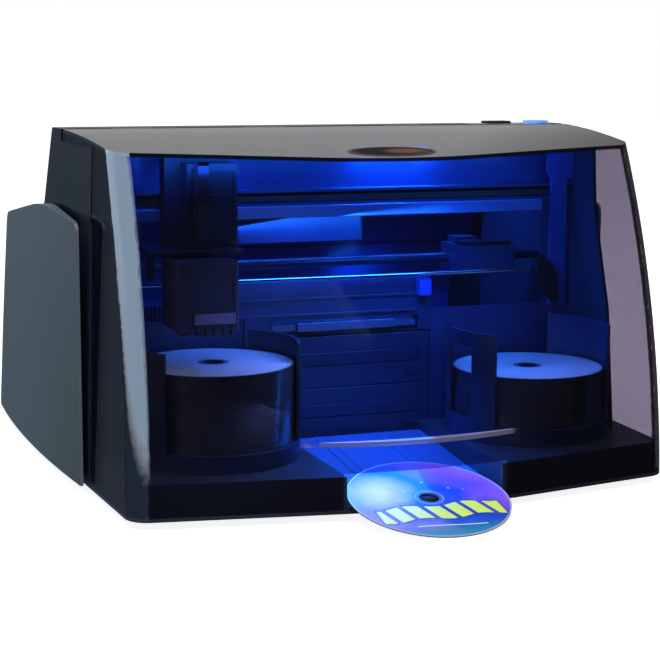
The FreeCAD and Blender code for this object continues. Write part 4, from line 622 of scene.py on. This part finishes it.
# ---------------------------------------------------------------- dress the machine
def slot_finishes():
    """The finish of each material slot."""
    black = moulded("black_moulding", (0.012, 0.014, 0.020), 0.38)
    # The blue of the inside finishes is partly their own dark colour and partly painted blue lamp light.
    bin_grey = moulded("bin_moulding", (0.013, 0.032, 0.085), 0.32)
    inner_black = moulded("inner_moulding", (0.014, 0.036, 0.09), 0.40)
    dark_sheet = painted("dark_sheet", (0.014, 0.042, 0.12))
    steel = sheet_metal("plated_sheet", (0.50, 0.52, 0.55))
    rubber = moulded("foot_rubber", (0.02, 0.02, 0.02), 0.75, grain=500.0, depth=0.00008)
    return {
        "side_plastic": wing_finish("wing_moulding"),
        "housing_plastic": housing_finish("housing_moulding"),
        "smoked_clear": smoked_acrylic("smoked_cover", smoke=0.35, tint=(0.95, 0.91, 1.0)),
        "badge_metal": badge_finish("badge_plate"),
        "black_plastic": black, "cartridge_plastic": black, "fan_plastic": black,
        "strip_plastic": moulded("pale_strip", (0.50, 0.52, 0.58), 0.30),
        "power_lens": lit_lens("power_lens", (0.12, 0.30, 0.95), 1.2),
        "clear_button": button_cap("clear_cap"),
        "steel_sheet": steel, "motor_can": steel, "pulley": steel,
        "dark_sheet": dark_sheet, "bulkhead_sheet": dark_sheet,
        "blue_panel": painted("inner_panel", (0.014, 0.055, 0.19), 0.30),
        "bar_metal": painted("lift_paint", (0.035, 0.045, 0.080), 0.30),
        "polished_rod": ground_rod("ground_rod"),
        "screw_steel": sheet_metal("screw_steel", (0.12, 0.12, 0.13), 0.30),
        "belt_rubber": rubber, "foot_rubber": rubber,
        "ribbon": moulded("flat_cable", (0.011, 0.020, 0.055), 0.30),
        "circuit_board": circuit_board("circuit_board"),
        "bezel_plastic": inner_black, "carriage_plastic": inner_black,
        "tower_plastic": moulded("tower_moulding", (0.014, 0.024, 0.046), 0.42),
        "head_plastic": head_plastic("head_moulding"),
        "bin_plastic": bin_grey, "tray_plastic": bin_grey, "gripper": bin_grey,
        "tray_bar": moulded("tray_bar", (0.07, 0.12, 0.22), 0.22),
        "ramp_plastic": moulded("ramp_plastic", (0.08, 0.22, 0.55), 0.12, mottle=0.08, coat=0.6),
        "sensor_lens": lit_lens("sensor_lens", (0.03, 0.12, 0.8), 0.12),
        "printed_face": printed_face("printed_face"),
    }


def own_finishes():
    """Finishes of the pieces that differ from the rest of their slot."""
    # The blue of these inside finishes is partly their own colour and partly painted blue lamp light.
    plate_blue = painted("plate_paint", (0.010, 0.030, 0.060), 0.35)
    bracket_blue = painted("bracket_paint", (0.02, 0.08, 0.30), 0.35)
    own = {
        "inner_plate_left": plate_blue, "inner_plate_right": plate_blue,
        "rail_bracket_left": bracket_blue, "rail_bracket_right": bracket_blue,
        "guide_rod": painted("dull_rod", (0.008, 0.022, 0.065), 0.30),
        "carriage_rail": painted("rail_paint", (0.10, 0.16, 0.30), 0.22),
        "base_tray": moulded("tray_moulding", (0.035, 0.048, 0.070), 0.38),
        "led_board": lamp_board("lamp_board"),
    }
    for node in ("disc_stack_left", "disc_stack_right"):
        own[node] = disc_pile(node + "_finish", node)
    return own


def dress():
    """Round the pieces that need it and give every piece its finish."""
    finishes = slot_finishes()
    own = own_finishes()
    for node in NODES:
        material = own.get(node) or finishes[SLOT_OF[node]]
        if node in EDGE_ROUNDING:
            paint(softened(node), material)
        else:
            repaint(node, material)
    vent_filter(moulded("filter_felt", (0.014, 0.020, 0.042), 0.85, grain=500.0, depth=0.00010, mottle=0.30,
                        specular=0.1))


# ---------------------------------------------------------------- studio, lamps and camera
# Turns are degrees round the object, 0 in front and 90 on its left; rises are degrees above level
WALL_TURN, WALL_RISE = (8.0, 148.0), (-3.5, 70.0)     # the bright wall on the left
WALL_GLOW = 2.7
FAR_LEFT_TURN, FAR_LEFT_GLOW = 150.0, 0.12            # behind the wall
RIGHT_TURN = (-149.0, 0.0)                            # the dim right side
BACK_LOW, BACK_HIGH = 0.46, 0.66                      # glow of the back near level and higher up
FLOOR_R = 8.0
LAMP_X = (0.016, 0.040, 0.064)                        # the blue lamps just under the lamp board
CAMERA_AT = (-0.4842, -1.2875, 0.3294)
CAMERA_YAW, CAMERA_PITCH, CAMERA_ROLL = (math.radians(angle) for angle in (20.51, 9.26, 0.28))
SENSOR = 36.0
FOCAL_LENGTH = 1689.3 / 660.0        # in widths of the sensor


def light(name, place, aim, size, watts, colour, mirrored=True):
    """Rectangular lamp that the camera doesn't see."""
    data = bpy.data.lights.new(name, "AREA")
    data.shape = "RECTANGLE"
    data.size, data.size_y = size
    data.energy = watts
    data.color = colour
    lamp = added(name, data)
    lamp.location = place
    lamp.rotation_euler = (Vector(aim) - Vector(place)).to_track_quat("-Z", "Y").to_euler()
    lamp.visible_camera = False
    lamp.visible_glossy = mirrored


def inner_lights():
    """Blue lamps under the cover, and pale fills that it doesn't mirror."""
    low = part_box("led_board")[0]
    y = low.y + 0.004
    z = low.z - 0.003
    for i, x in enumerate(LAMP_X):
        light("blue_lamp_%d" % i, (x, y, z), (x, y - 0.02, 0.0), (0.012, 0.006), 0.29, BLUE)
    lamps = (
        ("blue_left", (-0.12, y - 0.01, z - 0.004), (-0.13, y, 0.0), (0.05, 0.006), 0.35, BLUE),
        ("blue_floor", (0.0, -0.06, 0.20), (0.02, 0.0, 0.05), (0.20, 0.03), 0.9, BLUE),
        ("blue_front", (0.0, y - 0.055, z - 0.006), (0.0, y + 0.12, 0.14), (0.34, 0.02), 0.37, BLUE),
        ("blue_rear", (0.03, y + 0.05, 0.245), (0.03, y + 0.25, 0.13), (0.26, 0.02), 2.2, BLUE),
        ("cool_fill", (-0.03, -0.150, 0.150), (-0.14, -0.07, 0.06), (0.10, 0.05), 0.22, PALE_BLUE),
        ("cool_right", (0.10, -0.150, 0.130), (0.13, -0.08, 0.05), (0.08, 0.04), 0.018, PALE_BLUE),
        ("cool_deck", (-0.12, -0.185, 0.075), (-0.15, -0.17, 0.03), (0.16, 0.02), 0.05, PALE_BLUE),
        ("blue_back", (0.106, 0.215, 0.108), (0.112, 0.236, 0.124), (0.030, 0.008), 0.05, BLUE),
        ("blue_ramp", (0.0, -0.10, 0.085), (0.0, -0.10, 0.0), (0.10, 0.04), 0.14, BLUE),
    )
    for name, place, aim, size, watts, colour in lamps:
        light(name, place, aim, size, watts, colour, mirrored=colour is BLUE)


def studio_world():
    """White behind the object. What surfaces mirror is darker: a bright wall on the left, a pale back."""
    world = bpy.data.worlds.new("studio")
    bpy.context.scene.world = world
    world.use_nodes = True
    sky = Shading(world.node_tree)
    way = sky.node("ShaderNodeTexCoord", output="Generated")
    x, y, z = (sky.axis(way, axis) for axis in "XYZ")
    turn = (0 - x).maths("ARCTAN2", 0 - y) * math.degrees(1.0)
    rise = z.maths("ARCSINE") * math.degrees(1.0)
    wall = turn.within(*WALL_TURN, 1.0) * rise.within(*WALL_RISE, 3.0)
    far_left = turn.above(FAR_LEFT_TURN, 3.0)
    right_side = turn.above(RIGHT_TURN[0], 5.0) * turn.below(RIGHT_TURN[1], 4.0)
    back = y.above(0.15, 0.15) * rise.above(4.0, 4.0) * (1 - right_side * 0.95)
    climb = ((rise - 12.0) * (1 / 16.0)).clamped()
    mirrored = wall * WALL_GLOW + back * (BACK_LOW + climb * (BACK_HIGH - BACK_LOW)) + 0.02
    spread = y.above(0.0, 0.5) * 0.10 + x.above(0.0, 0.6) * -0.03 + 0.12
    glossy = sky.node("ShaderNodeLightPath", output="Is Glossy Ray")
    seen = sky.node("ShaderNodeLightPath", output="Is Camera Ray")
    lit = glossy * (mirrored + far_left * FAR_LEFT_GLOW) + (1 - glossy) * spread
    cool = sky.blend((wall + far_left) * glossy, WHITE, (0.60, 0.79, 1.0))
    sky.end_in("ShaderNodeOutputWorld",
               sky.node("ShaderNodeBackground", None, {"Color": cool, "Strength": seen + (1 - seen) * lit}))


def studio():
    """Pale round floor, the world and one large lamp overhead."""
    bm = bmesh.new()
    bmesh.ops.create_circle(bm, cap_ends=True, segments=96, radius=FLOOR_R)
    mesh = bpy.data.meshes.new("floor")
    bm.to_mesh(mesh)
    bm.free()
    floor = added("floor", mesh)
    paint(floor, floor_finish("pale_floor"))
    floor.visible_glossy = False
    floor.visible_diffuse = False
    studio_world()
    light("overhead_softbox", (0.1, -0.2, 2.3), (0, 0, 0), (2.6, 2.6), 36.0, WHITE)
    bpy.context.scene.view_settings.view_transform = "Standard"


def camera():
    """Long lens from the front left, a little above the top edge."""
    level = math.cos(CAMERA_PITCH)
    forward = Vector((math.sin(CAMERA_YAW) * level, math.cos(CAMERA_YAW) * level, -math.sin(CAMERA_PITCH)))
    right = Vector((math.cos(CAMERA_YAW), -math.sin(CAMERA_YAW), 0))
    up = right.cross(forward)
    across = right * math.cos(CAMERA_ROLL) + up * math.sin(CAMERA_ROLL)
    above = up * math.cos(CAMERA_ROLL) - right * math.sin(CAMERA_ROLL)
    data = bpy.data.cameras.new("camera")
    data.sensor_width = SENSOR
    data.lens = SENSOR * FOCAL_LENGTH
    data.clip_end = 50.0
    shot = added("camera", data)
    turn = Matrix((across, above, -forward)).transposed().to_4x4()
    shot.matrix_world = Matrix.Translation(CAMERA_AT) @ turn
    bpy.context.scene.camera = shot


camera()
dress()
studio()
inner_lights()
